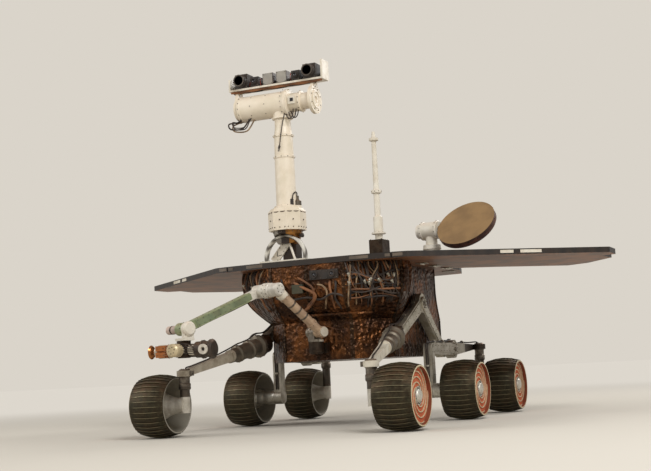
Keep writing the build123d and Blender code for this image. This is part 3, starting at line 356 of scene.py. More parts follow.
@dataclass(frozen=True)
class WheelMetal(Finish):
    """Wheel milled from one billet: black anodised barrel, with the rims, spokes and bowl left cream.

    Radii are about the axle. The web, the foam's face and the rim start at widths from the wheel's middle.
    """

    title: str
    centres: tuple[Vector, ...]
    tread_radius: float = 0.1125
    crown_radius: float = 0.126
    crown_fall: float = 1.875
    hub_radius: float = 0.0365
    bore_radius: float = 0.108
    web: float = 0.0425
    foam_face: float = 0.064
    rim: float = 0.079

    def dress(self, tree: Tree, coords: Node) -> dict:
        """The zone follows the distance from the nearest axle. Scuffs 14 mm wide mottle the metal.

        Args:
            tree: the material's node tree.
            coords: the texture coordinates.

        Returns:
            The shader's settings.
        """
        place = coords.outputs["Object"]
        parts = add(tree, "SeparateXYZ", {0: place}).outputs
        flat = add(tree, "CombineXYZ", {0: parts["X"], 2: parts["Z"]})
        nearest = None
        for centre in self.centres:
            apart = add(tree, "VectorMath", {"operation": "DISTANCE", 0: flat,
                                             1: (centre.x, 0, centre.z)}).outputs["Value"]
            nearest = apart if nearest is None else add(
                tree, "Math", {"operation": "MINIMUM", 0: nearest, 1: apart})
        width = add(tree, "Math", {"operation": "ABSOLUTE", 0: parts["Y"]})
        side = abs(self.centres[0].y)
        scuffs = add(tree, "TexNoise", {"Scale": per_metre(14), "Detail": 8.0, "Roughness": 0.75,
                                        "Vector": place})
        worn = add(tree, "MapRange", SMOOTH | {0: scuffs, 1: 0.4, 2: 0.7})
        tread = add(tree, "Mix", RGBA | {0: worn, 6: "2A291F", 7: "434131"}).outputs[2]
        # Cleat tips are rubbed bright: they stand proud of the drum, which is crowned across its width
        across = add(tree, "Math", {"operation": "SUBTRACT", 0: width, 1: side})
        crown = add(tree, "Math", {"operation": "MULTIPLY", 0: across, 1: across})
        drum = add(tree, "Math", {"operation": "MULTIPLY_ADD", 0: crown, 1: self.crown_fall,
                                  2: -self.crown_radius})
        proud = add(tree, "Math", {"operation": "ADD", 0: nearest, 1: drum})
        tips = add(tree, "MapRange", SMOOTH | {0: proud, 1: 0.0019, 2: 0.0029})
        tread = add(tree, "Mix", RGBA | {0: tips, 6: tread, 7: "78725A"}).outputs[2]
        tread = self.dusted(tree, tread, coords, 0.2)
        worn = add(tree, "MapRange", SMOOTH | {0: scuffs, 1: 0.35, 2: 0.7})
        cream = add(tree, "Mix", RGBA | {0: worn, 6: "D8CBA8", 7: "B7A684"}).outputs[2]
        silver = add(tree, "MapRange", SMOOTH | {0: nearest, 1: self.hub_radius, 2: self.hub_radius + 0.001,
                                                 3: 1.0, 4: 0.0})
        cream = add(tree, "Mix", RGBA | {0: silver, 6: cream, 7: "CBC7BC"}).outputs[2]
        # From the foam's face to short of the rim the bore wall is painted dark orange-brown, foam colour
        # with painted shade, and the bowl behind the web is left grey
        at_bore = add(tree, "Math", {"operation": "COMPARE", 0: nearest, 1: self.bore_radius, 2: 0.0012})
        outer = add(tree, "MapRange", SMOOTH | {0: width, 1: side + self.foam_face - 0.0005,
                                                2: side + self.foam_face + 0.0005})
        bore_painted_shade = add(tree, "Math", {"operation": "MULTIPLY", 0: at_bore, 1: outer})
        cream = add(tree, "Mix", RGBA | {0: bore_painted_shade, 6: cream, 7: "8A4A32"}).outputs[2]
        bowl = add(tree, "MapRange", SMOOTH | {0: width, 1: side + self.web - 0.0003,
                                               2: side + self.web + 0.0003, 3: 1.0, 4: 0.0})
        cream = add(tree, "Mix", RGBA | {0: bowl, 6: cream, 7: "A39D90"}).outputs[2]
        barrel = add(tree, "MapRange", SMOOTH | {0: nearest, 1: self.tread_radius - 0.0005,
                                                 2: self.tread_radius + 0.0005})
        rim = add(tree, "MapRange", SMOOTH | {0: width, 1: side + self.rim - 0.0005,
                                              2: side + self.rim + 0.0005})
        dark = add(tree, "Math", {"operation": "SUBTRACT", "use_clamp": True, 0: barrel, 1: rim})
        shine = add(tree, "Math", {"operation": "MAXIMUM", 0: dark, 1: silver})
        return {"Base Color": add(tree, "Mix", RGBA | {0: dark, 6: cream, 7: tread}).outputs[2],
                "Roughness": add(tree, "MapRange", SMOOTH | {0: scuffs, 1: 0.3, 2: 0.7, 3: 0.38, 4: 0.6}),
                "Metallic": add(tree, "MapRange", SMOOTH | {0: shine, 1: 0.0, 2: 1.0, 3: 0.3, 4: 0.8})}


@dataclass(frozen=True)
class Zone:
    """A box of the model's space where a coating differs."""

    low: Vector
    high: Vector
    tone: str
    metallic: float
    roughness: float


@dataclass(frozen=True)
class Zoned(Finish):
    """Fittings of one piece, each coated its own way: paint, anodising or plating."""

    title: str
    tone: str
    shade: str
    zones: tuple[Zone, ...]
    roughness: float = 0.42
    metallic: float = 0.2
    worn_share: float = 0.62

    def dress(self, tree: Tree, coords: Node) -> dict:
        """Each zone takes over by place. Clouds 45 mm wide and a grain of 2.5 mm run through all.

        Args:
            tree: the material's node tree.
            coords: the texture coordinates.

        Returns:
            The shader's settings.
        """
        place = coords.outputs["Object"]
        cloud = add(tree, "TexNoise", {"Scale": per_metre(45), "Detail": 6.0, "Roughness": 0.65,
                                       "Vector": place})
        grain = add(tree, "TexNoise", {"Scale": per_metre(2.5), "Vector": place})
        worn = add(tree, "MapRange", SMOOTH | {0: cloud, 1: 0.35, 2: 0.7})
        colour = add(tree, "Mix", RGBA | {0: worn, 6: self.tone, 7: self.shade}).outputs[2]
        metallic = add(tree, "Value")
        metallic.outputs[0].default_value = self.metallic
        low, high = self.roughness - 0.06, self.roughness + 0.1
        rough = add(tree, "MapRange", SMOOTH | {0: cloud, 1: 0.3, 2: 0.7, 3: low, 4: high})
        for zone in self.zones:
            inside = self.inside(tree, place, zone)
            red, green, blue, _ = (self.worn_share * c for c in linear(zone.tone))
            own = add(tree, "Mix", RGBA | {0: worn, 6: zone.tone, 7: (red, green, blue, 1.0)}).outputs[2]
            colour = add(tree, "Mix", RGBA | {0: inside, 6: colour, 7: own}).outputs[2]
            metallic = add(tree, "Mix", {0: inside, 2: metallic, 3: zone.metallic})
            rough = add(tree, "Mix", {0: inside, 2: rough, 3: zone.roughness})
        return {"Metallic": metallic, "Roughness": rough,
                "Normal": add(tree, "Bump", {"Strength": 0.2, "Distance": 0.0003, "Height": grain}),
                "Base Color": self.dusted(tree, colour, coords, 0.25)}

    @staticmethod
    def inside(tree: Tree, place: Socket, zone: Zone) -> Node:
        """Tell where a point lies inside a zone.

        Args:
            tree: the material's node tree.
            place: the point's socket.
            zone: the zone.

        Returns:
            A node whose value is 1 inside and 0 outside.
        """
        centre, half = (zone.low + zone.high) / 2, (zone.high - zone.low) / 2
        shifted = add(tree, "VectorMath", {"operation": "SUBTRACT", 0: place, 1: tuple(centre)})
        apart = add(tree, "VectorMath", {"operation": "ABSOLUTE", 0: shifted})
        beyond = add(tree, "VectorMath", {"operation": "SUBTRACT", 0: apart, 1: tuple(half)})
        x, y, z = add(tree, "SeparateXYZ", {0: beyond}).outputs
        most = add(tree, "Math", {"operation": "MAXIMUM", 0: x, 1: y})
        most = add(tree, "Math", {"operation": "MAXIMUM", 0: most, 1: z})
        return add(tree, "Math", {"operation": "LESS_THAN", 0: most, 1: 0.0})


@dataclass(frozen=True)
class DishSkin(Finish):
    """Printed antenna face under thin tan film, with red-brown wrap round its rim and back."""

    title: str
    face: Vector

    def dress(self, tree: Tree, coords: Node) -> dict:
        """Tan where the face looks out, brown elsewhere, with 30 mm wrinkles in the wrap.

        Args:
            tree: the material's node tree.
            coords: the texture coordinates.

        Returns:
            The shader's settings.
        """
        place = coords.outputs["Object"]
        ahead = add(tree, "VectorMath", {"operation": "DOT_PRODUCT", 0: coords.outputs["Normal"],
                                         1: tuple(self.face)}).outputs["Value"]
        cloud = add(tree, "TexNoise", {"Scale": per_metre(80), "Detail": 4.0, "Vector": place})
        wrinkles = add(tree, "TexNoise", {"Scale": per_metre(30), "Detail": 3.0, "Vector": place})
        faded = add(tree, "MapRange", SMOOTH | {0: cloud, 1: 0.3, 2: 0.7})
        tan = add(tree, "Mix", RGBA | {0: faded, 6: "8F7048", 7: "7C603D"}).outputs[2]
        folded = add(tree, "MapRange", SMOOTH | {0: wrinkles, 1: 0.3, 2: 0.7})
        wrap = add(tree, "Mix", RGBA | {0: folded, 6: "5A382A", 7: "3A241C"}).outputs[2]
        front = add(tree, "MapRange", SMOOTH | {0: ahead, 1: 0.9, 2: 0.97})
        return {"Normal": add(tree, "Bump", {"Strength": 0.2, "Distance": 0.002, "Height": wrinkles}),
                "Roughness": 0.6,
                "Base Color": add(tree, "Mix", RGBA | {0: front, 6: wrap, 7: tan}).outputs[2]}


@dataclass(frozen=True)
class Wrapped(Finish):
    """Cable bundle spiral-wrapped in tape: bands of tape along each run."""

    title: str
    tone: str
    shade: str
    radian_mm: float = 9.0

    def dress(self, tree: Tree, coords: Node) -> dict:
        """Tape turns 10 mm apart, drawn as bands 36 to 65 mm apart, nearly matt.

        Args:
            tree: the material's node tree.
            coords: the texture coordinates.

        Returns:
            The shader's settings.
        """
        turns = add(tree, "TexWave", {"bands_direction": "DIAGONAL", "Vector": coords.outputs["Object"],
                                      "Scale": per_metre(self.radian_mm) / WAVE_RATE}).outputs["Fac"]
        colour = add(tree, "Mix", RGBA | {0: turns, 6: self.tone, 7: self.shade}).outputs[2]
        return {"Normal": add(tree, "Bump", {"Strength": 0.4, "Distance": 0.0006, "Height": turns}),
                "Roughness": 0.7, "Base Color": colour}


@dataclass(frozen=True)
class CoatedGlass(Finish):
    """Ground and polished lens with a coating: near black, mirror smooth."""

    title: str

    def dress(self, tree: Tree, coords: Node) -> dict:
        """A faint violet coat over black, slightly uneven at 10 mm.

        Args:
            tree: the material's node tree.
            coords: the texture coordinates.

        Returns:
            The shader's settings.
        """
        cloud = add(tree, "TexNoise", {"Scale": per_metre(10), "Vector": coords.outputs["Object"]})
        colour = add(tree, "Mix", RGBA | {0: cloud, 6: "06060A", 7: "120E1C"}).outputs[2]
        return {"Roughness": 0.04, "Coat Weight": 1.0, "Coat Roughness": 0.02, "Base Color": colour}


class Mesh:
    """Faces gathered into one piece."""

    def __init__(self) -> None:
        """Start with no faces."""
        self.points: list[Vector] = []
        self.faces: list[tuple[int, ...]] = []

    def ring(self, centre: Vector, across: Vector, along: Vector, radius: float, sides: int) -> list[int]:
        """Add a ring of points.

        Args:
            centre: the ring's middle.
            across: unit direction of the first point.
            along: unit direction of the ring's axis.
            radius: the ring's radius.
            sides: how many points.

        Returns:
            The points' numbers.
        """
        start = len(self.points)
        other = along.cross(across)
        for i in range(sides):
            turn = 2 * pi * i / sides
            self.points.append(centre + (across * cos(turn) + other * sin(turn)) * radius)
        return list(range(start, start + sides))

    def turned(self, start: Vector, direction: Vector, profile: Sequence[tuple[float, float]],
               sides: int = 24) -> None:
        """Add a closed solid of revolution.

        Args:
            start: the origin of the profile on the axis.
            direction: the axis.
            profile: radius and distance along the axis, from one end to the other.
            sides: how many facets round.
        """
        along = direction.normalized()
        across = along.orthogonal().normalized()
        rings = [self.ring(start + along * d, across, along, max(r, 1e-5), sides) for r, d in profile]
        self.skin(rings)

    def skin(self, rings: Sequence[list[int]], capped: bool = True) -> None:
        """Join rings of equal count by quads and close both ends.

        Args:
            rings: the rings' point numbers.
            capped: whether the first and last ring are closed by a face.
        """
        sides = len(rings[0])
        for a, b in zip(rings, rings[1:]):
            for i in range(sides):
                j = (i + 1) % sides
                self.faces.append((a[i], a[j], b[j], b[i]))
        if capped:
            self.faces.append(tuple(reversed(rings[0])))
            self.faces.append(tuple(rings[-1]))

    def box(self, centre: Vector, size: Sequence[float], axes: Matrix | None = None) -> None:
        """Add a box.

        Args:
            centre: the box's middle.
            size: the three side lengths.
            axes: its rotation, or None to lie along X, Y and Z.
        """
        start = len(self.points)
        for sx in (-0.5, 0.5):
            for sy in (-0.5, 0.5):
                for sz in (-0.5, 0.5):
                    corner = Vector((sx * size[0], sy * size[1], sz * size[2]))
                    self.points.append(centre + (axes @ corner if axes else corner))
        for face in ((0, 1, 3, 2), (4, 6, 7, 5), (0, 4, 5, 1), (2, 3, 7, 6), (0, 2, 6, 4), (1, 5, 7, 3)):
            self.faces.append(tuple(start + i for i in face))

    def tube(self, points: Sequence[Vector], radius: float, sides: int = 8) -> None:
        """Add a round tube along a run of points.

        Args:
            points: the tube's middle line.
            radius: the tube's radius.
            sides: how many facets round.
        """
        across = (points[1] - points[0]).orthogonal().normalized()
        rings = []
        for i, point in enumerate(points):
            ahead = (points[min(i + 1, len(points) - 1)] - points[max(i - 1, 0)]).normalized()
            across = (across - ahead * across.dot(ahead)).normalized()
            rings.append(self.ring(point, across, ahead, radius, sides))
        self.skin(rings)

    def bolt(self, seat: Vector, direction: Vector, radius: float) -> None:
        """Add a socket-headed screw: a round head with a sunk socket.

        Args:
            seat: its head's middle, on the seat.
            direction: the way that its head faces.
            radius: the head's radius.
        """
        height = radius * 1.1
        self.turned(seat, direction, [(radius, 0), (radius, height * 0.85), (radius * 0.85, height),
                                      (radius * 0.5, height), (radius * 0.45, height * 0.55)], 12)

    def bolts(self, centre: Vector, direction: Vector, circle: float, count: int, radius: float) -> None:
        """Add screws in a circle, their heads along the direction.

        Args:
            centre: the circle's middle, on the seat.
            direction: the way that the heads face.
            circle: the circle's radius.
            count: how many screws.
            radius: the heads' radius.
        """
        along = direction.normalized()
        across = along.orthogonal().normalized()
        other = along.cross(across)
        for i in range(count):
            turn = 2 * pi * (i + 0.5) / count
            self.bolt(centre + (across * cos(turn) + other * sin(turn)) * circle, along, radius)

    def studs(self, centre: Vector, axis: Vector, radius: float, count: int, size: float,
              first: float = 0.0) -> None:
        """Add screws round a cylinder, their heads outwards.

        Args:
            centre: the ring's middle on the axis.
            axis: the cylinder's axis.
            radius: the cylinder's radius.
            count: how many screws.
            size: the heads' radius.
            first: the turn of the first screw.
        """
        along = axis.normalized()
        across = along.orthogonal().normalized()
        other = along.cross(across)
        for i in range(count):
            turn = first + 2 * pi * i / count
            outwards = across * cos(turn) + other * sin(turn)
            self.bolt(centre + outwards * (radius - 0.3 * MM), outwards, size)

    def plate(self, outline: Sequence[Vector], direction: Vector, thick: float) -> None:
        """Add a flat plate.

        Args:
            outline: its corners in order.
            direction: the way across its thickness.
            thick: its thickness.
        """
        shift = direction.normalized() * thick / 2
        start = len(self.points)
        count = len(outline)
        self.points.extend([p - shift for p in outline] + [p + shift for p in outline])
        self.skin([[start + i for i in range(count)], [start + count + i for i in range(count)]])

    def piece(self, name: str, finish: Finish, body: str, smooth: bool = True) -> bpy.types.Object:
        """Make the object, give it its finish and let it ride on a body.

        Args:
            name: the piece's name.
            finish: its finish.
            body: the body that it moves with.
            smooth: whether faces meeting at under 40 degrees are shaded as one.

        Returns:
            The new object.
        """
        mesh = bpy.data.meshes.new(name)
        mesh.from_pydata([tuple(p) for p in self.points], [], self.faces)
        mesh.validate()
        mesh.materials.append(finish.material())
        made = bpy.data.objects.new(name, mesh)
        bpy.context.scene.collection.objects.link(made)
        if smooth:
            mesh.shade_smooth()
            mesh.set_sharp_from_angle(angle=radians(40))
        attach(made, body)
        return made


def curve(points: Sequence[Vector], steps: int = 8) -> list[Vector]:
    """Run a smooth line through points.

    Args:
        points: the points that it passes.
        steps: how many parts between two points.

    Returns:
        The points of the line.
    """
    line = []
    for i in range(len(points) - 1):
        a, b = points[max(i - 1, 0)], points[i]
        c, d = points[i + 1], points[min(i + 2, len(points) - 1)]
        for k in range(steps):
            t = k / steps
            line.append(0.5 * ((2 * b) + (c - a) * t + (2 * a - 5 * b + 4 * c - d) * t ** 2
                               + (3 * b - a - 3 * c + d) * t ** 3))
    return line + [points[-1]]


def joint_place(name: str) -> Vector:
    """Return where a joint's axis passes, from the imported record."""
    return Vector(next(j["pos_m"] for j in frame["joints"] if j["name"] == name))


AXLE = joint_place("roll_middle_left").x


def at(dx: float, y: float, z: float) -> Vector:
    """Return a point in the model's frame.

    Args:
        dx: millimetres forward of the middle axle.
        y: millimetres to port.
        z: millimetres above the ground.

    Returns:
        The point in metres.
    """
    return Vector((AXLE + dx * MM, y * MM, z * MM))


def paint(finish: Finish, *nodes: str) -> None:
    """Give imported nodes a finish.

    Args:
        finish: their finish.
        nodes: their names.
    """
    for node in nodes:
        slots = frame["nodes"][node].data.materials
        slots.clear()
        slots.append(finish.material())


ENAMEL_CREAM = Enamel("Baked enamel, cream", "E0D5C2", "D3C8B2", 0.42, 0.22)
ENAMEL_WHITE = Enamel("Baked enamel, white", "D9D4C6", "C2BAA8")
DRIVE_WHITE = BareMetal("Drive housing, bead-blasted", "D5D1C6", "B3AD9F", 0.4, 0.1)
ENAMEL_GREY = Enamel("Baked enamel, grey", "97948A", "84817A")
ENAMEL_GREEN = Enamel("Primer, dark green", "2F3829", "232A20", 0.5)
ENAMEL_SAGE = Enamel("Conversion coating, sage", "717F60", "56634A", 0.45)
ENAMEL_DIM = Enamel("Edge plate, grey", "5C564C", "48433B", 0.5)
# Painted shade of the mast collar's scallops
PAINTED_SCALLOP_SHADE = Enamel("Recess paint, brown", "5A4638", "43342A", 0.6)
ALUMINIUM = BareMetal("Machined aluminium, clear anodised", "B9B5A8", "8F8A7C")
TITANIUM = BareMetal("Titanium, as machined", "7C766B", "57514A", 0.42)
DARK_METAL = BareMetal("Machined aluminium, black anodised", "3A342C", "241F1A", 0.45)
CAMERA_BLACK = Enamel("Flat black paint", "1B1A19", "26231F", 0.62, 0.15)
FILM = CrinkledFilm("Polyimide film, crinkled")
FILM_SEAM = CrinkledFilm("Polyimide seam tape, dark", "3E2A1A", "21170F")
PANEL = PanelSkin("Carbon honeycomb panel")
CELLS = CellGlass("Gallium cells under glass")
FOAM = CellFoam("Silicone foam, open cell")
LENS = CoatedGlass("Lens glass, coated")
HARNESS_COPPER = Wrapped("Cable wrap, copper tape", "8A5A36", "5E3C24")
HARNESS_DARK = Wrapped("Cable wrap, dark braid", "221A15", "3C3028", 6.0)
HARNESS_PALE = Wrapped("Cable wrap, tan braid", "9C8264", "6C563E", 6.0)
HARNESS_RED = Wrapped("Cable sleeve, red", "8E3A26", "5E2418", 5.0)
# The coil's dark bands are painted shade in the gaps between its silver turns
COIL_PAINTED_SHADE = Wrapped("Cable wrap, silvered braid", "CFCBC0", "5E5850", 5.0)


class Hand(Enum):
    """The two sides of the machine."""

    LEFT = 1
    RIGHT = -1


@dataclass
class Wheel:
    """One wheel: hub screws and the finish of its foam."""

    place: str
    hand: Hand
    screw_circle: float = 33.5 * MM
    screw_radius: float = 1.9 * MM
    ring_rise: float = 4.0 * MM
    screws: int = 9
    hub: Vector = field(init=False)

    def __post_init__(self) -> None:
        """Find the hub from its joint."""
        self.label = f"{self.place}_{self.hand.name.lower()}"
        self.hub = joint_place(f"roll_{self.label}")

    def build(self) -> None:
        """Dress the foam and set the hub's screws on its ring."""
        paint(FOAM, f"wheel_foam_{self.label}")
        low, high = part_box(f"wheel_foam_{self.label}")
        outwards = Vector((0, self.hand.value, 0))
        face = max(self.hand.value * low.y, self.hand.value * high.y) + self.ring_rise
        screws = Mesh()
        screws.bolts(Vector((self.hub.x, self.hand.value * face, self.hub.z)), outwards, self.screw_circle,
                     self.screws, self.screw_radius)
        screws.piece(f"hub_screws_{self.label}", TITANIUM, f"wheel_{self.label}")


@dataclass
class SolarArray:
    """Strings of cells on the deck and its wings, laid clear of what stands there."""

    cell: tuple[float, float] = (76 * MM, 38 * MM)
    gap: float = 2.5 * MM
    thick: float = 0.9 * MM
    margin: float = 7 * MM
    tab_width: float = 5 * MM
    tab_rise: float = 0.5 * MM
    tab_places: tuple[float, float] = (-0.3, 0.3)
    panels: tuple[str, ...] = ("deck", "rear_panel", "wing_left", "wing_right")
    standing: tuple[str, ...] = ("mast_bracket", "mast_coil", "antenna_bracket", "dish_base",
                                 "calibration_target")

    def free(self, panel: bpy.types.Object, x: float, y: float, top: float) -> bool:
        """Tell whether a cell's corners all lie on the panel and clear of other pieces.

        Args:
            panel: the panel under the cell.
            x: the cell's middle, forward.
            y: the cell's middle, to port.
            top: the height of the panel's face.

        Returns:
            Whether the cell fits there.
        """
        half_x, half_y = self.cell[0] / 2 + self.margin, self.cell[1] / 2 + self.margin
        for sx in (-1, 1):
            for sy in (-1, 1):
                hit, place, _, _ = panel.ray_cast((x + sx * half_x, y + sy * half_y, top + 0.1), (0, 0, -1))
                if not hit or abs(place.z - top) > MM:
                    return False
        for node in self.standing:
            low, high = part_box(node)
            if low.x - half_x < x < high.x + half_x and low.y - half_y < y < high.y + half_y:
                return False
        return True

    def build(self) -> None:
        """Lay the cells of each panel as one piece, with the tabs that join them."""
        for name in self.panels:
            paint(PANEL, name)
            panel = frame["nodes"][name]
            low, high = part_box(name)
            cells, tabs = Mesh(), Mesh()
            step_x, step_y = self.cell[0] + self.gap, self.cell[1] + self.gap
            for i in range(int((high.x - low.x) / step_x) + 1):
                for j in range(int((high.y - low.y) / step_y) + 1):
                    x, y = low.x + (i + 0.5) * step_x, low.y + (j + 0.5) * step_y
                    if self.free(panel, x, y, high.z):
                        cells.box(Vector((x, y, high.z + self.thick / 2)), (*self.cell, self.thick))
                        for share in self.tab_places:
                            tabs.box(Vector((x + share * self.cell[0], y + step_y / 2,
                                             high.z + self.thick / 2)),
                                     (self.tab_width, self.gap * 1.6, self.thick + self.tab_rise))
            cells.piece(f"cells_{name}", CELLS, "rover", smooth=False)
            tabs.piece(f"cell_tabs_{name}", ALUMINIUM, "rover", smooth=False)


# The body's half outline, forward of the middle axle and to port, at the waist and at the flare
WAIST = ((360.0, 160.0), (200.0, 290.0), (160.0, 290.0), (90.0, 290.0), (-420.0, 290.0), (-500.0, 200.0))
FLARE = ((450.0, 170.0), (300.0, 378.0), (205.0, 378.0), (90.0, 298.0), (-360.0, 296.0), (-460.0, 200.0))
WAIST_Z = 452.0
FLARE_Z = 600.0


def hull_outline(height: float) -> list[Vector]:
    """Return the body's corners at a height, from the port bow round the stern to the starboard bow.

    Args:
        height: millimetres above the ground.

    Returns:
        The corners in the model's frame.
    """
    part = min(max((height - WAIST_Z) / (FLARE_Z - WAIST_Z), 0.0), 1.0)
    swell = sin(part * pi / 2)
    port = [(a + (c - a) * swell, b + (d - b) * swell) for (a, b), (c, d) in zip(WAIST, FLARE)]
    return [at(x, y, height) for x, y in port] + [at(x, -y, height) for x, y in reversed(port)]


def on_hull(side: int, along: float, height: float, out: float = 0.0) -> Vector:
    """Return a point on one side of the body.

    Args:
        side: which side, counted from the port bow; -1 is the nose.
        along: the share of the side's length.
        height: millimetres above the ground.
        out: millimetres off the body.

    Returns:
        The point in the model's frame.
    """
    corners = hull_outline(height)
    start, end = corners[side], corners[(side + 1) % len(corners)]
    run = end - start
    return start.lerp(end, along) + Vector((run.y, -run.x, 0)).normalized() * out * MM


@dataclass
class Film:
    """Film draped round the body between two heights, in panels held flat by tape along their seams.

    Its sizes are in millimetres.
    """

    name: str
    foot_z: float
    head_z: float
    deepest: float = 7.5
    pace: float = 6.0
    panel: float = 165.0
    tape: float = 16.0
    tape_fade: float = 18.0
    tape_rise: float = 1.5
    tape_root: float = 4.0
    lift: float = 0.8
    skin_gap: float = 0.15
    back_depth: float = 1.0
    back_step: int = 5
    edge_rows: int = 3
    # Places where something passes through: first corner, last corner, share of the depth that stays
    flats: tuple[tuple[Vector, Vector, float], ...] = ()
    flat_fade: float = 20.0
    # Behind the rockers' plates, in metres: its sides, its top and the fade above it. The depth left there,
    # in millimetres, and the share of the rest that the lower film keeps
    plate_sides: tuple[float, float] = (0.285, 0.305)
    plate_top: float = 0.568
    plate_fade: float = 0.03
    plate_depth: float = 1.7
    plate_share: float = 0.7

    def rise(self, point: Vector, fold: float) -> float:
        """Return how far the film stands off the body at a point, in millimetres.

        Args:
            point: a point on the body.
            fold: the folds' height there, from 0 to 1.

        Returns:
            The rise, small behind the rockers' plates and at the flat places.
        """
        depth = self.deepest
        if self.plate_sides[0] < abs(point.y) < self.plate_sides[1]:
            above = min(max((point.z - self.plate_top) / self.plate_fade, 0.0), 1.0)
            clear = above if point.z > WAIST_Z * MM else self.plate_share
            depth = self.plate_depth + (self.deepest - self.plate_depth) * clear
        rise = self.lift + depth * fold
        for low, high, share in self.flats:
            beyond = max(max(low[i] - point[i], point[i] - high[i]) for i in range(3)) / MM
            rise *= share + (1 - share) * min(max(beyond / self.flat_fade, 0.0), 1.0)
        return rise + self.skin_gap

    @staticmethod
    def lay(sheet: Mesh, line: Sequence[Vector], rises: Sequence[float]) -> list[int]:
        """Add one level ring of the sheet.

        Args:
            sheet: where its points go.
            line: the body's outline at that height.
            rises: how far each point stands off the body, in millimetres.

        Returns:
            The points' numbers.
        """
        start = len(sheet.points)
        for k, point in enumerate(line):
            ahead = line[(k + 1) % len(line)] - line[k - 1]
            sheet.points.append(point + Vector((ahead.y, -ahead.x, 0)).normalized() * rises[k] * MM)
        return list(range(start, start + len(line)))

    @staticmethod
    def crease(point: Vector) -> float:
        """Find how high the folds stand at a point: long pleats with sharp creases across.

        Args:
            point: a point on the body.

        Returns:
            Their height, from 0 to about 1.
        """
        height = 0.0
        # Width in metres, squash of the height, share of the depth
        for size, squash, share in ((0.062, 0.45, 0.55), (0.026, 0.8, 0.3), (0.011, 1.0, 0.15)):
            sample = Vector((point.x, point.y, point.z * squash)) / size
            near = noise.voronoi(sample)[0]
            height += share * min((near[1] - near[0]) * 1.35, 1.0)
        return height

    def build(self) -> None:
        """Sample the body's outline, raise the folds and lay the tapes."""
        rows = int((self.head_z - self.foot_z) / self.pace)
        heights = [self.foot_z + (self.head_z - self.foot_z) * row / rows for row in range(rows + 1)]
        middle = hull_outline((self.foot_z + self.head_z) / 2)
        runs = [(middle[(i + 1) % len(middle)] - middle[i]).length for i in range(len(middle))]
        counts = [max(int(run / MM / self.pace), 2) for run in runs]
        panels = [max(round(run / MM / self.panel), 1) for run in runs]
        sheet = Mesh()
        rings, backs = [], []
        for row, height in enumerate(heights):
            corners = hull_outline(height)
            line, weights = [], []
            for i, count in enumerate(counts):
                for k in range(count):
                    line.append(corners[i].lerp(corners[(i + 1) % len(corners)], k / count))
                    place = k / count * panels[i]
                    apart = abs(place - round(place)) / panels[i] * runs[i] / MM
                    weights.append(min(max((apart - self.tape / 2) / self.tape_fade, 0.0), 1.0))
            edge = min(row, rows - row, self.edge_rows) / self.edge_rows
            rings.append(self.lay(sheet, line,
                                  [self.rise(p, self.crease(p) * w * edge) for p, w in zip(line, weights)]))
            if row % self.back_step == 0 or row == rows:
                backs.append(self.lay(sheet, line, [-self.back_depth] * len(line)))
        # The back lies in the body and closes the sheet
        sheet.skin(rings + backs[::-1] + rings[:1], capped=False)
        sheet.piece(f"film_{self.name}", FILM, "rover")
        tapes = Mesh()
        for i, count in enumerate(panels):
            for k in range(count):
                self.lay_tape(tapes, i, k / count, heights[::3] + [self.head_z])
        tapes.piece(f"film_seams_{self.name}", FILM_SEAM, "rover")

    def lay_tape(self, mesh: Mesh, side: int, along: float, heights: Sequence[float]) -> None:
        """Lay one upright tape.

        Args:
            mesh: where its faces go.
            side: the side of the body.
            along: the share of the side's length.
            heights: the heights that it passes.
        """
        half, root, rise = self.tape / 2 * MM, -self.tape_root, self.tape_rise
        rings = []
        for height in heights:
            point = on_hull(side, along, height)
            ahead = on_hull(side, min(along + 0.01, 1.0), height) - point
            if along == 0.0:
                before = point - on_hull(side - 1, 0.99, height)
                ahead = ahead.normalized() + before.normalized()
            ahead.normalize()
            outwards = Vector((ahead.y, -ahead.x, 0))
            start = len(mesh.points)
            for across, out in ((-half, root), (-half, rise), (half, rise), (half, root)):
                mesh.points.append(point + ahead * across + outwards * out * MM)
            rings.append([start + k for k in range(4)])
        mesh.skin(rings)


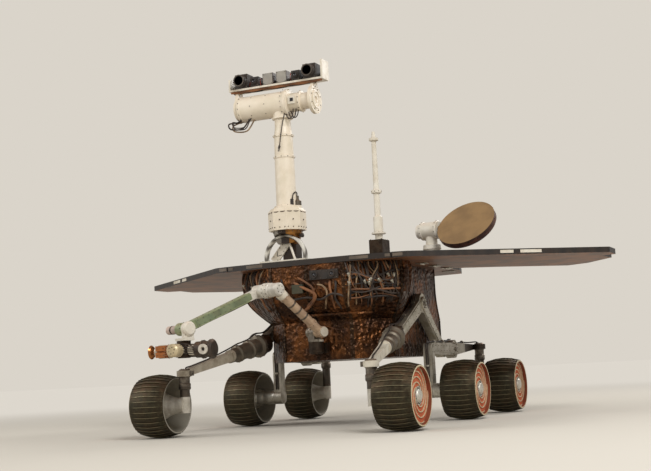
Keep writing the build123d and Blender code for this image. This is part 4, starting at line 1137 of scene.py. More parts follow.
@dataclass
class Harness:
    """Cable bundles that hang over the bow and the nose of the hull, fixed at both ends."""

    seed: int = 11
    head_z: float = 688.0
    # Spreads of the bundles that fall: foot in millimetres, lean in shares of the side, radius in millimetres
    fall_feet: tuple[float, float] = (500.0, 592.0)
    fall_leans: tuple[float, float] = (-0.22, 0.3)
    fall_radii: tuple[float, float] = (1.8, 4.6)
    # The bundles that cross: height of the lowest, rise to the highest, sag and radii, in millimetres
    cross_z: float = 530.0
    cross_rise: float = 115.0
    cross_sag: float = 22.0
    cross_radii: tuple[float, float] = (2.4, 5.0)
    meshes: dict[str, Mesh] = field(default_factory=dict)

    def run(self, kind: str, points: Sequence[Vector], radius: float) -> None:
        """Add one bundle.

        Args:
            kind: which mesh it joins.
            points: the places that it passes.
            radius: its radius in millimetres.
        """
        self.meshes[kind].tube(curve(points, 6), radius * MM, 7)

    def falls(self, chance: Random, side: int, count: int, first: float, last: float) -> None:
        """Hang bundles from the deck down one side of the hull.

        Args:
            chance: the source of their spread.
            side: the side of the body.
            count: how many bundles.
            first: the share of the side where they start.
            last: the share of the side where they end.
        """
        for i in range(count):
            along = first + (last - first) * (i + chance.uniform(-0.4, 0.4)) / count
            lean = chance.uniform(*self.fall_leans)
            foot = chance.uniform(*self.fall_feet)
            span = self.head_z - foot
            # Share of the lean, share of the fall, off the hull
            stops = ((0, 0, 4), (0.1, 0.16, chance.uniform(9, 20)),
                     (chance.uniform(0.2, 0.9), 0.5, chance.uniform(10, 25)),
                     (1.0, 0.86, chance.uniform(8, 15)), (1.0, 1.0, -2))
            points = [on_hull(side, min(max(along + lean * share, 0.02), 0.98),
                              self.head_z - span * drop, out) for share, drop, out in stops]
            kind = ("dark", "copper", "dark", "pale", "dark")[i % 5]
            self.run(kind, points, chance.uniform(*self.fall_radii))
            if i % 3 == 0:
                way = points[3] - points[2]
                self.meshes["connectors"].turned(points[2] - way * 0.16, way, [
                    (0, 0), (6 * MM, 0), (7.5 * MM, 2 * MM), (7.5 * MM, 7 * MM), (6 * MM, 8 * MM),
                    (6 * MM, 16 * MM), (4 * MM, 19 * MM), (0, 19 * MM)], 12)

    def crossings(self, chance: Random, side: int, count: int) -> None:
        """Run bundles along one side of the hull, with loose waves.

        Args:
            chance: the source of their spread.
            side: the side of the body.
            count: how many bundles.
        """
        for i in range(count):
            height = self.cross_z + self.cross_rise * i / count + chance.uniform(-10, 10)
            sag = chance.uniform(-self.cross_sag, self.cross_sag)
            outs = [-2] + [chance.uniform(11, 24) for _ in range(4)] + [-2]
            points = [on_hull(side, 0.03 + 0.94 * k / 5, height + sag * sin(k * 1.3 + i), out)
                      for k, out in enumerate(outs)]
            self.run("copper" if i % 3 == 1 else "dark", points, chance.uniform(*self.cross_radii))

    def build(self) -> None:
        """Hang the bundles, the taped hoops of the nose and the pleats of the port cheek."""
        self.meshes = {kind: Mesh() for kind in ("dark", "copper", "pale", "connectors", "pleats")}
        chance = Random(self.seed)
        self.falls(chance, 0, 30, 0.04, 0.94)
        self.crossings(chance, 0, 9)
        self.falls(chance, 10, 9, 0.1, 0.9)
        self.falls(chance, 5, 7, 0.2, 0.8)
        nose = hull_outline(FLARE_Z)[0].y * 2 / MM
        # Hoops: way from the nose's middle, height, off the hull
        for kind, radius, places in (
            ("copper", 6.5, ((-58, 618, -2), (-17, 596, 12), (40, 563, 15), (18, 526, 14),
                             (-30, 500, 10), (-60, 496, -2))),
            ("copper", 4.5, ((-40, 640, -2), (8, 612, 12), (34, 588, 14), (30, 548, 12),
                             (-6, 520, 8), (-20, 512, -2))),
            ("pale", 4.0, ((50, 604, -2), (80, 596, 12), (97, 570, 14), (84, 532, 12), (66, 504, -2))),
            ("copper", 5.0, ((108, 614, -2), (112, 590, 12), (116, 550, 13), (110, 500, -2))),
            ("dark", 5.0, ((134, 612, -2), (140, 590, 13), (130, 540, 14), (142, 498, -2))),
            ("dark", 4.0, ((-120, 640, -2), (-104, 600, 14), (-112, 560, 12), (-96, 520, -2))),
            ("dark", 5.0, ((-152, 560, -2), (-90, 545, 13), (0, 552, 10), (60, 540, 12),
                           (120, 560, 16), (164, 548, -2))),
        ):
            self.run(kind, [on_hull(-1, 0.5 + y / nose, z, out) for y, z, out in places], radius)
        # Pleats of film over the port and starboard cheeks
        for side in (1, 9):
            for k in range(6):
                along = 0.08 + 0.16 * k
                outs = (1, 5 + k % 3, 3 + k % 2, 1)
                self.run("pleats", [on_hull(side, along + 0.03 * sin(z + k), z, out)
                                    for z, out in zip((self.head_z, 655, 610, 560), outs)], 6.5 + k % 3)
        box_height = 590
        self.meshes["connectors"].box(on_hull(-1, 0.14, box_height, 6), (12 * MM, 34 * MM, 30 * MM))
        for kind, finish in (("dark", HARNESS_DARK), ("copper", HARNESS_COPPER), ("pale", HARNESS_PALE),
                             ("connectors", ALUMINIUM), ("pleats", FILM)):
            self.meshes[kind].piece(f"harness_{kind}", finish, "rover")
        # A dark green box set on the nose
        green = Mesh()
        green.box(on_hull(-1, 0.39, box_height, 9), (16 * MM, 50 * MM, 38 * MM))
        green.piece("junction_box", ENAMEL_GREEN, "rover", smooth=False)


@dataclass
class Body:
    """The wrapped body and what is fixed to it."""

    deck_z: float = 715.0
    edge_z: float = 703.5
    edge_height: float = 13.0
    screw_pitch: int = 60

    def build(self) -> None:
        """Dress the hull, drape its film and trim the deck's edge."""
        paint(FILM, "body_lower", "body_upper")
        paint(DARK_METAL, "arm_mount")
        paint(CAMERA_BLACK, "hazard_cameras")
        paint(ALUMINIUM, "deck_hinges", "calibration_target")
        cameras = (at(400, -5, 610), at(500, 175, 676), 0.25)
        shoulder = (at(340, -40, 350), at(400, 130, 453), 0.0)
        pivots = (at(-110, -400, 460), at(10, 400, 575), 0.2)
        Film("upper", WAIST_Z + 1, 690, flats=(cameras, pivots)).build()
        Film("lower", 287, WAIST_Z - 1, flats=(shoulder,)).build()
        Harness().build()
        self.edge_labels()
        self.lens_and_screws()

    def edge_labels(self) -> None:
        """Set the blank pale plates along the deck's and wings' front edges."""
        nose, side = Vector((455, 200)), Vector((435, 383))
        fore, tip = Vector((420, 450)), Vector((-200, 1160))
        root = Vector((435, 387))
        plates, dim = Mesh(), Mesh()
        for mesh, start, end, first, last in (
            (dim, nose, side, 0.02, 0.47), (dim, nose, side, 0.86, 0.98), (dim, root, fore, 0.05, 0.7),
            (plates, fore, tip, 0.446, 0.511), (plates, fore, tip, 0.545, 0.651),
        ):
            for hand in Hand:
                a, b = start.lerp(end, first), start.lerp(end, last)
                run = (b - a).normalized()
                along = Vector((run.x, run.y * hand.value, 0))
                outwards = Vector((run.y, -run.x * hand.value, 0))
                middle = (a + b) / 2
                centre = at(middle.x, middle.y * hand.value, self.edge_z) + outwards * 0.5 * MM
                mesh.box(centre, ((b - a).length * MM, 1.4 * MM, self.edge_height * MM),
                         Matrix((along, outwards, UP)).transposed())
        plates.piece("edge_plates_pale", ENAMEL_WHITE, "rover", smooth=False)
        dim.piece("edge_plates_dim", ENAMEL_DIM, "rover", smooth=False)

    def lens_and_screws(self) -> None:
        """Glaze the hazard cameras and screw down their bars, the hinges and the calibration target."""
        glass, screws = Mesh(), Mesh()
        for way, face, places in ((1, 450, (45, 125)), (-1, -460, (-50, 50))):
            for y in places:
                glass.turned(at(face + way * 16, y, 644), Vector((way, 0, 0)),
                             [(8 * MM, -1 * MM), (8 * MM, 0), (6 * MM, 1.6 * MM), (3 * MM, 2.4 * MM),
                              (0, 2.6 * MM)], 20)
            middle = sum(places) / 2
            for dy in (-60, -14, 14, 60):
                for z in (629, 659):
                    screws.bolt(at(face + way * 10, middle + dy, z), Vector((way, 0, 0)), 2 * MM)
        for x in (-360, -300):
            for y in (-280, -220):
                screws.bolt(at(x, y, 725), UP, 2.5 * MM)
        # Screws round the deck's edge
        for hand in Hand:
            for dx in range(-440, 420, self.screw_pitch):
                for y in (378, 392):
                    screws.bolt(at(dx, hand.value * y, self.deck_z), UP, 2.2 * MM)
        glass.piece("hazard_lenses", LENS, "rover")
        screws.piece("deck_screws", TITANIUM, "rover")


@dataclass
class Suspension:
    """Rockers, bogies, steering and drive housings."""

    pivot: tuple[float, float] = (-50.0, 520.0)
    ring: tuple[float, float, float] = (292.0, 320.0, 365.0)
    heel: tuple[float, float] = (-315.0, 312.0)
    steer_y: float = 412.0
    bogie_face: float = 394.0
    rocker_face: float = 342.0

    def build(self) -> None:
        """Dress the suspension, screw it together and run its cables."""
        for hand in Hand:
            side = hand.name.lower()
            self.dress(hand, side)
            screws, cables, clips = Mesh(), Mesh(), Mesh()
            self.screw(hand.value, screws)
            self.cable(hand.value, cables, clips)
            screws.piece(f"suspension_screws_{side}", TITANIUM, "rover")
            cables.piece(f"drive_cables_{side}", HARNESS_DARK, "rover")
            clips.piece(f"cable_clips_{side}", ALUMINIUM, "rover")
        paint(TITANIUM, "steering_motors")

    def dress(self, hand: Hand, side: str) -> None:
        """Paint one side: pale legs and spar, dark joint between them. The starboard spar takes darker tones
        as painted shade.

        Args:
            hand: the side.
            side: its name.
        """
        s = hand.value
        near, far = sorted((s * 240, s * 380))
        dark_socket = Zone(at(226, near, 310), at(330, far, 440), "3B362E", 0.7, 0.5)
        turned_root = Zone(at(226, near, 290), at(492, s * 320 + 90, 440), "6E685C", 0.7, 0.45)
        paint(Zoned(f"Rocker, clear anodised, {side}", "BDB8AA", "98927F", (dark_socket,), 0.4, 0.75),
              f"rocker_{side}")
        # The starboard spar's darker tones are painted shade on the same pale enamel as the port spar
        spar = ("D8D2C2", "BDB5A2") if hand is Hand.LEFT else ("A89F8E", "837A6A")
        paint(Zoned(f"Front arm, {side}", *spar, (turned_root,), 0.42, 0.2), f"front_arm_{side}")
        near, far = sorted((s * 300, s * 450))
        tail = Zone(at(-680, near, 290), at(-470, far, 350), "3A352E", 0.7, 0.45)
        paint(Zoned(f"Bogie, clear anodised, dark tail, {side}", "A9A498", "857F71", (tail,), 0.42, 0.75),
              f"bogie_{side}")
        paint(DRIVE_WHITE, f"drive_housing_{side}")
        for place, dx, top in (("front", 790, 236), ("rear", -630, 298)):
            post = Zone(at(dx - 27, s * self.steer_y - 27, 163), at(dx + 27, s * self.steer_y + 27, top),
                        "57524A", 0.7, 0.42)
            cone = Zoned(f"Knuckle, pale cone and bare post, {place} {side}", "D5D1C6", "B3AD9F", (post,),
                         0.36, 0.4)
            paint(cone, f"knuckle_{place}_{side}")

    def rows(self, mesh: Mesh, start: Vector, end: Vector, out: Vector, half: float,
             pitch: float = 34.0) -> None:
        """Set two rows of small screws along a leg.

        Args:
            mesh: where they go.
            start: the leg's root on its face.
            end: the leg's tip on its face.
            out: the face's direction.
            half: how far each row lies from the middle line, in millimetres.
            pitch: how far apart the screws are, in millimetres.
        """
        line = end - start
        across = line.cross(out).normalized()
        count = max(int(line.length / MM / pitch), 2)
        for k in range(count + 1):
            for way in (-1, 1):
                mesh.bolt(start + line * k / count + across * way * half * MM, out, 1.7 * MM)

    def screw(self, s: int, mesh: Mesh) -> None:
        """Screw one side together.

        Args:
            s: 1 to port, -1 to starboard.
            mesh: where the screws go.
        """
        out = Vector((0, s, 0))
        pivot = at(self.pivot[0], s * 348, self.pivot[1])
        heel = at(self.heel[0], s * self.bogie_face, self.heel[1])
        ring = at(self.ring[0], s * self.ring[1], self.ring[2])
        clamp = at(790, s * self.steer_y, 258)
        along = (clamp - ring).normalized()
        mesh.bolts(pivot, out, 22 * MM, 8, 2.2 * MM)
        mesh.turned(pivot - out * 3 * MM, out,
                    [(9 * MM, 0), (9 * MM, 3 * MM), (6 * MM, 5 * MM), (0, 5 * MM)], 6)
        mesh.bolts(heel, out, 27 * MM, 10, 2.2 * MM)
        mesh.turned(heel, out, [(13 * MM, 0), (13 * MM, 3 * MM), (8 * MM, 5 * MM), (0, 5 * MM)], 6)
        mesh.studs(ring + along * 7 * MM, along, 50 * MM, 14, 2.4 * MM)
        mesh.studs(ring - along * 6 * MM, along, 46 * MM, 14, 2.4 * MM, 0.2)
        mesh.studs(ring + along * 70 * MM, along, 40.5 * MM, 8, 2.2 * MM)
        mesh.studs(ring + along * 153 * MM, along, 37 * MM, 8, 2.2 * MM)
        # Screw rows on the raised panels, from outside each joint to short of the next
        face_pivot = at(self.pivot[0], s * self.rocker_face, self.pivot[1])
        socket = at(self.ring[0] - 29, s * self.rocker_face, self.ring[2] + 6)
        low_heel = at(self.heel[0], s * self.rocker_face, self.heel[1])
        self.rows(mesh, face_pivot.lerp(socket, 0.14), face_pivot.lerp(socket, 0.86), out, 12)
        self.rows(mesh, face_pivot.lerp(low_heel, 0.14), face_pivot.lerp(low_heel, 0.84), out, 12)
        knee = at(0, s * self.bogie_face, 318)
        self.rows(mesh, heel.lerp(knee, 0.16), heel.lerp(knee, 0.9), out, 11)
        self.rows(mesh, at(0, s * self.bogie_face, 300), at(0, s * self.bogie_face, 200), out, 10)
        # Clamp lugs on the inboard side, and the motors' cap screws
        for dx, foot in ((790, 246), (-630, 308)):
            lug = at(dx, s * (self.steer_y - 35), foot + 12)
            mesh.box(lug, (16 * MM, 12 * MM, 20 * MM))
            for z in (-5, 5):
                mesh.bolt(lug + Vector((8, 0, z)) * MM, AHEAD, 2.4 * MM)
            mesh.bolts(at(dx, s * self.steer_y, foot + 30), UP, 13 * MM, 6, 2 * MM)

    def cable(self, s: int, cables: Mesh, clips: Mesh) -> None:
        """Run the drive cables from the body pivot to each motor.

        Args:
            s: 1 to port, -1 to starboard.
            cables: where the cables go.
            clips: where their clips go.
        """
        y = s * self.ring[1]
        ring = at(self.ring[0], y, self.ring[2])
        clamp = at(790, s * self.steer_y, 258)
        along = (clamp - ring).normalized()
        lift = along.cross(PORT).normalized()
        lift = lift if lift.z > 0 else -lift
        for shift, radius in ((-5, 3.2), (4, 2.6)):
            aside = Vector((0, shift, 0)) * MM
            fore = [at(x, y + shift, z) for x, z in ((-10, 563), (30, 520), (110, 481), (190, 444),
                                                     (232, 428), (262, 423))]
            # Along the spar in metres, above it in millimetres, share of the shift
            fore += [ring + along * way + lift * rise * MM + aside * share for way, rise, share in (
                (0, 57, 1), (0.03, 56, 1), (0.068, 46, 0), (0.12, 43, 0), (0.16, 42, 0), (0.22, 34, 0),
                (0.34, 24, 0), (0.46, 20, 1 / 3))]
            fore += [clamp + Vector((-26, 0, 26)) * MM, clamp + Vector((-12, 0, 22)) * MM]
            aft = [at(x, width + shift, z) for x, width, z in (
                (-96, y, 560), (-150, y, 490), (-210, y, 442), (-262, y, 398), (-308, y, 358),
                (-352, s * 352, 352), (-400, s * 372, 340), (-470, s * 376, 343), (-560, s * 384, 342))]
            aft += [at(-612, s * 400, 344), at(-624, s * 408, 340)]
            fall = [at(x, s * 372 + shift, z) for x, z in (
                (-300, 358), (-240, 347), (-140, 346), (-50, 345), (8, 342), (27, 318), (25, 260), (25, 190),
                (24, 166))]
            for line in (fore, aft, fall):
                cables.tube(curve(line, 5), radius * MM, 8)
        for x, width, z, axis in ((30, y, 520, (1, 0, -0.48)), (150, y, 462, (1, 0, -0.48)),
                                  (-180, y, 466, (1, 0, 0.8)), (-262, y, 398, (1, 0, 0.8)),
                                  (-470, s * 376, 342, (1, 0, 0)), (-190, s * 372, 346, (1, 0, 0)),
                                  (-70, s * 372, 345, (1, 0, 0)), (25, s * 372, 240, (0, 0, 1))):
            way = Vector(axis).normalized()
            clips.turned(at(x, width, z) - way * 4 * MM, way, [(9.5 * MM, 0), (9.5 * MM, 8 * MM)], 10)


@dataclass
class OnMast:
    """Base of what stands on the mast: its places are counted from the mast's axis."""

    dx: float = 420.0
    y: float = -90.0

    def place(self, x: float, y: float, z: float) -> Vector:
        """Return a point counted in millimetres from the mast's axis and the ground."""
        return at(self.dx + x, self.y + y, z)

    def line(self, *places: tuple[float, float, float], steps: int = 7) -> list[Vector]:
        """Run a smooth line through places counted from the mast's axis."""
        return curve([self.place(*spot) for spot in places], steps)


@dataclass
class Mast(OnMast):
    """The camera mast, its gimbal and its bracket."""

    collar_radius: float = 82.0
    scallop_z: float = 926.0
    top_z: float = 943.0
    drum_z: float = 1405.0

    def build(self) -> None:
        """Dress the mast from its foot up."""
        paint(ENAMEL_CREAM, "mast_collar", "head_drum", "camera_ears")
        paint(ENAMEL_WHITE, "mast_bracket")
        motor = Zone(self.place(-36, 44.5, 955), self.place(10, 66, 1002), "5E594F", 0.6, 0.4)
        paint(Zoned("Mast, cream with a bare motor", "E0D5C2", "D3C8B2", (motor,), 0.42, 0.0), "mast_tube")
        grey_left = Zone(self.place(-80, -80, 790), self.place(80, -20, 850), "8B867C", 0.7, 0.4)
        gold_right = Zone(self.place(-80, 18, 790), self.place(80, 80, 850), "9A6A33", 0.85, 0.3)
        paint(Zoned("Gimbal, black and gold", "2B2722", "1D1A17", (grey_left, gold_right), 0.42, 0.5),
              "mast_post")
        paint(COIL_PAINTED_SHADE, "mast_coil")
        self.foot()
        self.collar()
        self.tube()
        self.drum()

    def foot(self) -> None:
        """Chevron on the slanted plate, screws of the base plate, knob of the gimbal."""
        dark, screws = Mesh(), Mesh()
        low, high = at(418, -165, 721), at(418, -98, 799)
        run = (high - low).normalized()
        across = AHEAD.cross(run)
        for way in (1, -1):
            middle = low.lerp(high, 0.36) + across * way * 7 * MM + AHEAD * 0.6 * MM
            slant = (run + across * way * 0.8).normalized()
            dark.box(middle, (1.4 * MM, 22 * MM, 2.6 * MM),
                     Matrix((AHEAD, slant, AHEAD.cross(slant))).transposed())
        dark.turned(self.place(8, 61, 822), PORT, [
            (0, 0), (7 * MM, 0), (7 * MM, 6 * MM), (9.5 * MM, 7 * MM), (9.5 * MM, 15 * MM),
            (6 * MM, 17 * MM), (0, 17 * MM)])
        for share in (0.16, 0.62, 0.8):
            for way in (-1, 1):
                screws.bolt(low.lerp(high, share) + across * way * 12 * MM, AHEAD, 2 * MM)
        for y in (-206, -175, -20, -11):
            screws.bolt(at(441, y, 721), UP, 2.4 * MM)
            screws.bolt(at(380, y, 721), UP, 2.4 * MM)
        screws.studs(self.place(0, 0, 840), UP, 62 * MM, 16, 2.2 * MM)
        dark.piece("gimbal_knob", CAMERA_BLACK, "rover")
        screws.piece("mast_foot_screws", TITANIUM, "rover")

    def collar(self) -> None:
        """Dark plates near the collar's top edge as painted shade of its scallops, and screws below."""
        scallop_shade, screws = Mesh(), Mesh()
        apothem = self.collar_radius * cos(pi / 8)
        sweep = [pi * k / 10 for k in range(11)]
        for turn in (i * pi / 4 for i in range(8)):
            outwards = Vector((cos(turn), sin(turn), 0))
            across = Vector((-sin(turn), cos(turn), 0))
            # Thin dark half-disc plates: painted shade of each scallop
            for shift in (-15, 15):
                top = self.place(0, 0, self.scallop_z) + outwards * (apothem + 0.4) * MM + across * shift * MM
                arc = [top + (across * 12 * cos(a) - UP * 4.5 * sin(a)) * MM for a in sweep]
                scallop_shade.plate(arc, outwards, 1.0 * MM)
            for shift in (-24, 0, 24):
                screws.bolt(self.place(0, 0, 858) + outwards * apothem * MM + across * shift * MM, outwards,
                            2.4 * MM)
            screws.bolt(self.place(0, 0, 890) + outwards * apothem * MM, outwards, 3 * MM)
        scallop_shade.piece("collar_scallops", PAINTED_SCALLOP_SHADE, "rover", smooth=False)
        screws.piece("collar_screws", TITANIUM, "rover")

    def tube(self) -> None:
        """Screws of the flange, the seams and the cable clipped up the tube's back."""
        screws, cable, clips = Mesh(), Mesh(), Mesh()
        screws.bolts(self.place(0, 0, self.top_z + 10.5), UP, 49 * MM, 12, 2.4 * MM)
        for z, radius in ((1169, 45.5), (1263, 44.5)):
            screws.studs(self.place(0, 0, z), UP, radius * MM, 10, 2 * MM)
        for y, radius in ((-6, 3.2), (3, 2.6)):
            stops = ((-40, 962), (-48, 985), (-47, 1080), (-48, 1160), (-50, 1172), (-46, 1240),
                     (-49, 1264), (-40, 1300), (-38, 1326), (-38, 1352))
            cable.tube(self.line(*((x, y, z) for x, z in stops), steps=5), radius * MM, 8)
        for z in (1010, 1085, 1150, 1215):
            clips.box(self.place(-46, -1.5, z), (12 * MM, 20 * MM, 9 * MM))
        # Dark clip beside the azimuth motor, with its cable
        clips.box(self.place(24, 38, 968), (12 * MM, 10 * MM, 26 * MM))
        cable.tube(self.line((-14, 44, 996), (-12, 46, 1008), (4, 47, 1012), (22, 44, 1000), (26, 42, 978),
                             steps=6), 2.6 * MM, 8)
        screws.piece("mast_screws", TITANIUM, "mast")
        cable.piece("mast_cable", HARNESS_DARK, "mast")
        clips.piece("mast_clips", CAMERA_BLACK, "mast", smooth=False)

    def drum(self) -> None:
        """Screws of the cross drum's bands, its window and the loops of cable under its end."""
        screws, panel, window, loops = Mesh(), Mesh(), Mesh(), Mesh()
        for y, radius, count in ((-189, 57.5, 14), (19, 61.5, 16), (96, 46, 12), (-60, 55.5, 8),
                                 (-130, 55.5, 8)):
            screws.studs(self.place(0, y, self.drum_z), PORT, radius * MM, count, 2 * MM)
        panel.box(self.place(42, 66, 1408), (6 * MM, 34 * MM, 34 * MM))
        window.box(self.place(45.4, 68, 1409), (1.2 * MM, 15 * MM, 15 * MM))
        pale = Mesh()
        for mesh, x, reach, drop, last, radius in ((loops, 22, -252, 84, -150, 3.4),
                                                   (pale, 12, -238, 94, -128, 3.2),
                                                   (loops, 4, -244, 74, -164, 2.4),
                                                   (loops, 30, -226, 88, -138, 2.6)):
            low = self.drum_z - drop
            mesh.tube(self.line((x, -188, 1354), (x, -204, 1346), (x, reach, low + 24), (x, reach + 8, low),
                                (x, (reach + last) / 2 + 12, low - 5), (x, last - 8, 1344),
                                (x, last, 1356)), radius * MM, 8)
        for x, y, z in ((10, 46, 1342), (22, 40, 1338), (30, 30, 1336)):
            loops.tube(self.line((x, y, z + 26), (x + 4, y + 16, z - 6), (x + 6, y + 34, z + 2),
                                 (x, y + 38, z + 34)), 2.4 * MM, 8)
        # Thin lead from the neck down the tube's front, ending in a sleeve
        loops.tube(self.line((34, 30, 1362), (42, 24, 1330), (46, 14, 1280), (46, 4, 1226),
                             (45.5, -4, 1190)), 2.2 * MM, 8)
        loops.turned(self.place(45.8, 2, 1216), Vector((0, -0.3, -1)),
                     [(0, 0), (4.4 * MM, 1 * MM), (4.4 * MM, 15 * MM), (0, 16 * MM)], 10)
        pale.piece("drum_cable_pale", HARNESS_PALE, "mast")
        screws.piece("drum_screws", TITANIUM, "mast")
        panel.piece("drum_window_frame", ENAMEL_WHITE, "mast", smooth=False)
        window.piece("drum_window", LENS, "mast", smooth=False)
        loops.piece("drum_cables", HARNESS_DARK, "mast")


@dataclass
class CameraHead(OnMast):
    """The camera bar with its four cameras."""

    shelf_z: float = 1493.0
    axis_z: float = 1405.0
    front_x: float = 34.0
    # Place along the bar, body height, lens radius, lens length, whether large
    cameras: tuple[tuple[float, float, float, float, bool], ...] = (
        (-177, 64, 28.5, 26, True), (-112, 44, 13, 14, False), (88, 44, 13, 14, False),
        (153, 64, 28.5, 26, True))

    def build(self) -> None:
        """Dress the bar, glaze the lenses, run the wiring and set the screws."""
        boxes = Zone(self.place(-34, -73.5, self.shelf_z + 0.5), self.place(32, 44.5, self.shelf_z + 54),
                     "37312B", 0.3, 0.45)
        paint(Zoned("Camera bar, white with dark boxes", "DCD5C6", "C0B7A4", (boxes,), 0.42, 0.0),
              "camera_bar")
        paint(CAMERA_BLACK, "cameras")
        glass, rims, screws = Mesh(), Mesh(), Mesh()
        for y, height, radius, length, large in self.cameras:
            axis = self.place(self.front_x, y, self.shelf_z + height / 2)
            inner = radius * 0.6 * MM
            glass.turned(axis + AHEAD * length * 0.7 * MM, AHEAD, [
                (inner, -1 * MM), (inner, 0.2 * MM), (inner * 0.8, 1.8 * MM), (inner * 0.45, 3.2 * MM),
                (0, 3.8 * MM)], 28)
            if large:
                rims.turned(axis + AHEAD * length * MM, AHEAD, [
                    (radius * 0.8 * MM, -1 * MM), ((radius - 3) * MM, -1 * MM), ((radius - 3) * MM, 0.8 * MM),
                    (radius * 0.8 * MM, 0.8 * MM), (radius * 0.8 * MM, -1 * MM)], 32)
            width = 30 if large else 20
            for sy in (-1, 1):
                for z in (5, height - 5):
                    screws.bolt(self.place(self.front_x + 1, y + sy * (width - 5), self.shelf_z + z), AHEAD,
                                1.9 * MM)
        plates = Mesh()
        for y in (-47.5, 18.5):
            plates.box(self.place(31.8, y, self.shelf_z + 27), (1.8 * MM, 45 * MM, 48 * MM))
            for sy in (-19, 19):
                for z in (7, 47):
                    screws.bolt(self.place(32.6, y + sy, self.shelf_z + z), AHEAD, 1.9 * MM)
        glass.piece("camera_lenses", LENS, "camera_head")
        rims.piece("lens_retainers", TITANIUM, "camera_head")
        plates.piece("electronics_lids", ENAMEL_GREY, "camera_head", smooth=False)
        self.ears(screws)
        screws.piece("camera_screws", TITANIUM, "camera_head")
        self.wiring()

    def ears(self, screws: Mesh) -> None:
        """Ring of screws on each ear, outside its dimple.

        Args:
            screws: where they go.
        """
        for face, way, disc in ((164.3, 1, 62), (-214.3, -1, 48)):
            screws.bolts(self.place(0, face, self.axis_z), PORT * way, disc * 0.78 * MM, 8, 2.4 * MM)
            for z in (1462, 1478):
                screws.bolt(self.place(0, face, z), PORT * way, 2.2 * MM)

    def wiring(self) -> None:
        """Copper-taped bundle along the shelf's front, dark one below, red leads by the port camera."""
        copper, dark, red = Mesh(), Mesh(), Mesh()
        low = self.shelf_z - 13
        for shift, radius in ((0, 4.2), (6, 3.2), (-4, 2.6)):
            stops = ((26 + shift / 2, -232 + 44 * k, low + shift / 2 + 2.4 * sin(k * 1.9 + shift))
                     for k in range(11))
            copper.tube(self.line(*stops, steps=5), radius * MM, 8)
        for shift, radius in ((0, 3.4), (-8, 2.6)):
            stops = ((10 + shift, -228 + 40 * k, low + 2 * sin(k * 2.3 + shift)) for k in range(11))
            dark.tube(self.line(*stops, steps=5), radius * MM, 8)
        for k, y in enumerate((-138, -134, -86, 60)):
            top = self.shelf_z + 3 * k
            red.tube(self.line((20, y, self.shelf_z), (34, y + 3, top + 10), (30, y + 5, top + 26),
                               (12, y + 4, self.shelf_z + 34), steps=6), 1.6 * MM, 6)
        copper.piece("bar_harness", HARNESS_COPPER, "camera_head")
        dark.piece("bar_cables", HARNESS_DARK, "camera_head")
        red.piece("camera_leads", HARNESS_RED, "camera_head")


@dataclass
class Antennas:
    """The rod antenna and the dish."""

    base: tuple[float, float] = (-400.0, 280.0)
    pivot_z: float = 885.0
    rod: tuple[float, float] = (370.0, 310.0)
    heading: float = -11.5
    rise: float = 43.0
    disc_reach: float = 200.0
    disc_radius: float = 145.0
    ribs: int = 6

    def build(self) -> None:
        """Dress the antennas and screw them down."""
        paint(ENAMEL_WHITE, "rod_antenna", "dish_base", "dish_yoke")
        paint(DARK_METAL, "antenna_bracket")
        ahead = Vector((cos(radians(self.heading)), sin(radians(self.heading)), 0))
        across = Vector((-ahead.y, ahead.x, 0))
        face = ahead * cos(radians(self.rise)) + UP * sin(radians(self.rise))
        paint(DishSkin("Antenna film, tan", face), "dish")
        pivot = at(*self.base, self.pivot_z)
        screws, yoke, dish = Mesh(), Mesh(), Mesh()
        screws.bolts(at(*self.base, 723), UP, 46 * MM, 10, 2.6 * MM)
        screws.bolts(at(*self.rod, 807), UP, 25 * MM, 8, 2 * MM)
        for x in (334, 406):
            for y in (286, 334):
                screws.bolt(at(x, y, 775), UP, 2.6 * MM)
        screws.studs(at(*self.rod, 982), UP, 22 * MM, 8, 1.8 * MM)
        yoke.studs(pivot - across * 41 * MM, across, 44 * MM, 12, 2 * MM)
        yoke.studs(pivot + across * 38 * MM, across, 44 * MM, 12, 2 * MM)
        yoke.bolts(pivot - across * 72 * MM, -across, 18 * MM, 6, 2.2 * MM)
        # Rim clips and the stiffening ribs behind the disc
        centre = pivot + across * self.disc_reach * MM
        dish.studs(centre + face * 14 * MM, face, self.disc_radius * MM, 20, 2.2 * MM)
        top = face.cross(across)
        for k in range(self.ribs):
            turn = 2 * pi * k / self.ribs + 0.3
            way = across * cos(turn) + top * sin(turn)
            dish.box(centre - face * 23 * MM + way * 62 * MM, (96 * MM, 5 * MM, 8 * MM),
                     Matrix((way, face.cross(way), face)).transposed())
        screws.piece("antenna_screws", TITANIUM, "rover")
        yoke.piece("yoke_screws", TITANIUM, "dish_yoke")
        dish.piece("dish_ribs", DARK_METAL, "dish")
        lead = Mesh()
        for places in (((-352, 262, 722), (-340, 256, 724), (-300, 240, 722), (-250, 238, 719)),
                       ((328, 300, 730), (316, 298, 722), (296, 290, 719), (270, 288, 719))):
            lead.tube(curve([at(*place) for place in places], 6), 3 * MM, 8)
        lead.piece("antenna_leads", HARNESS_DARK, "rover")


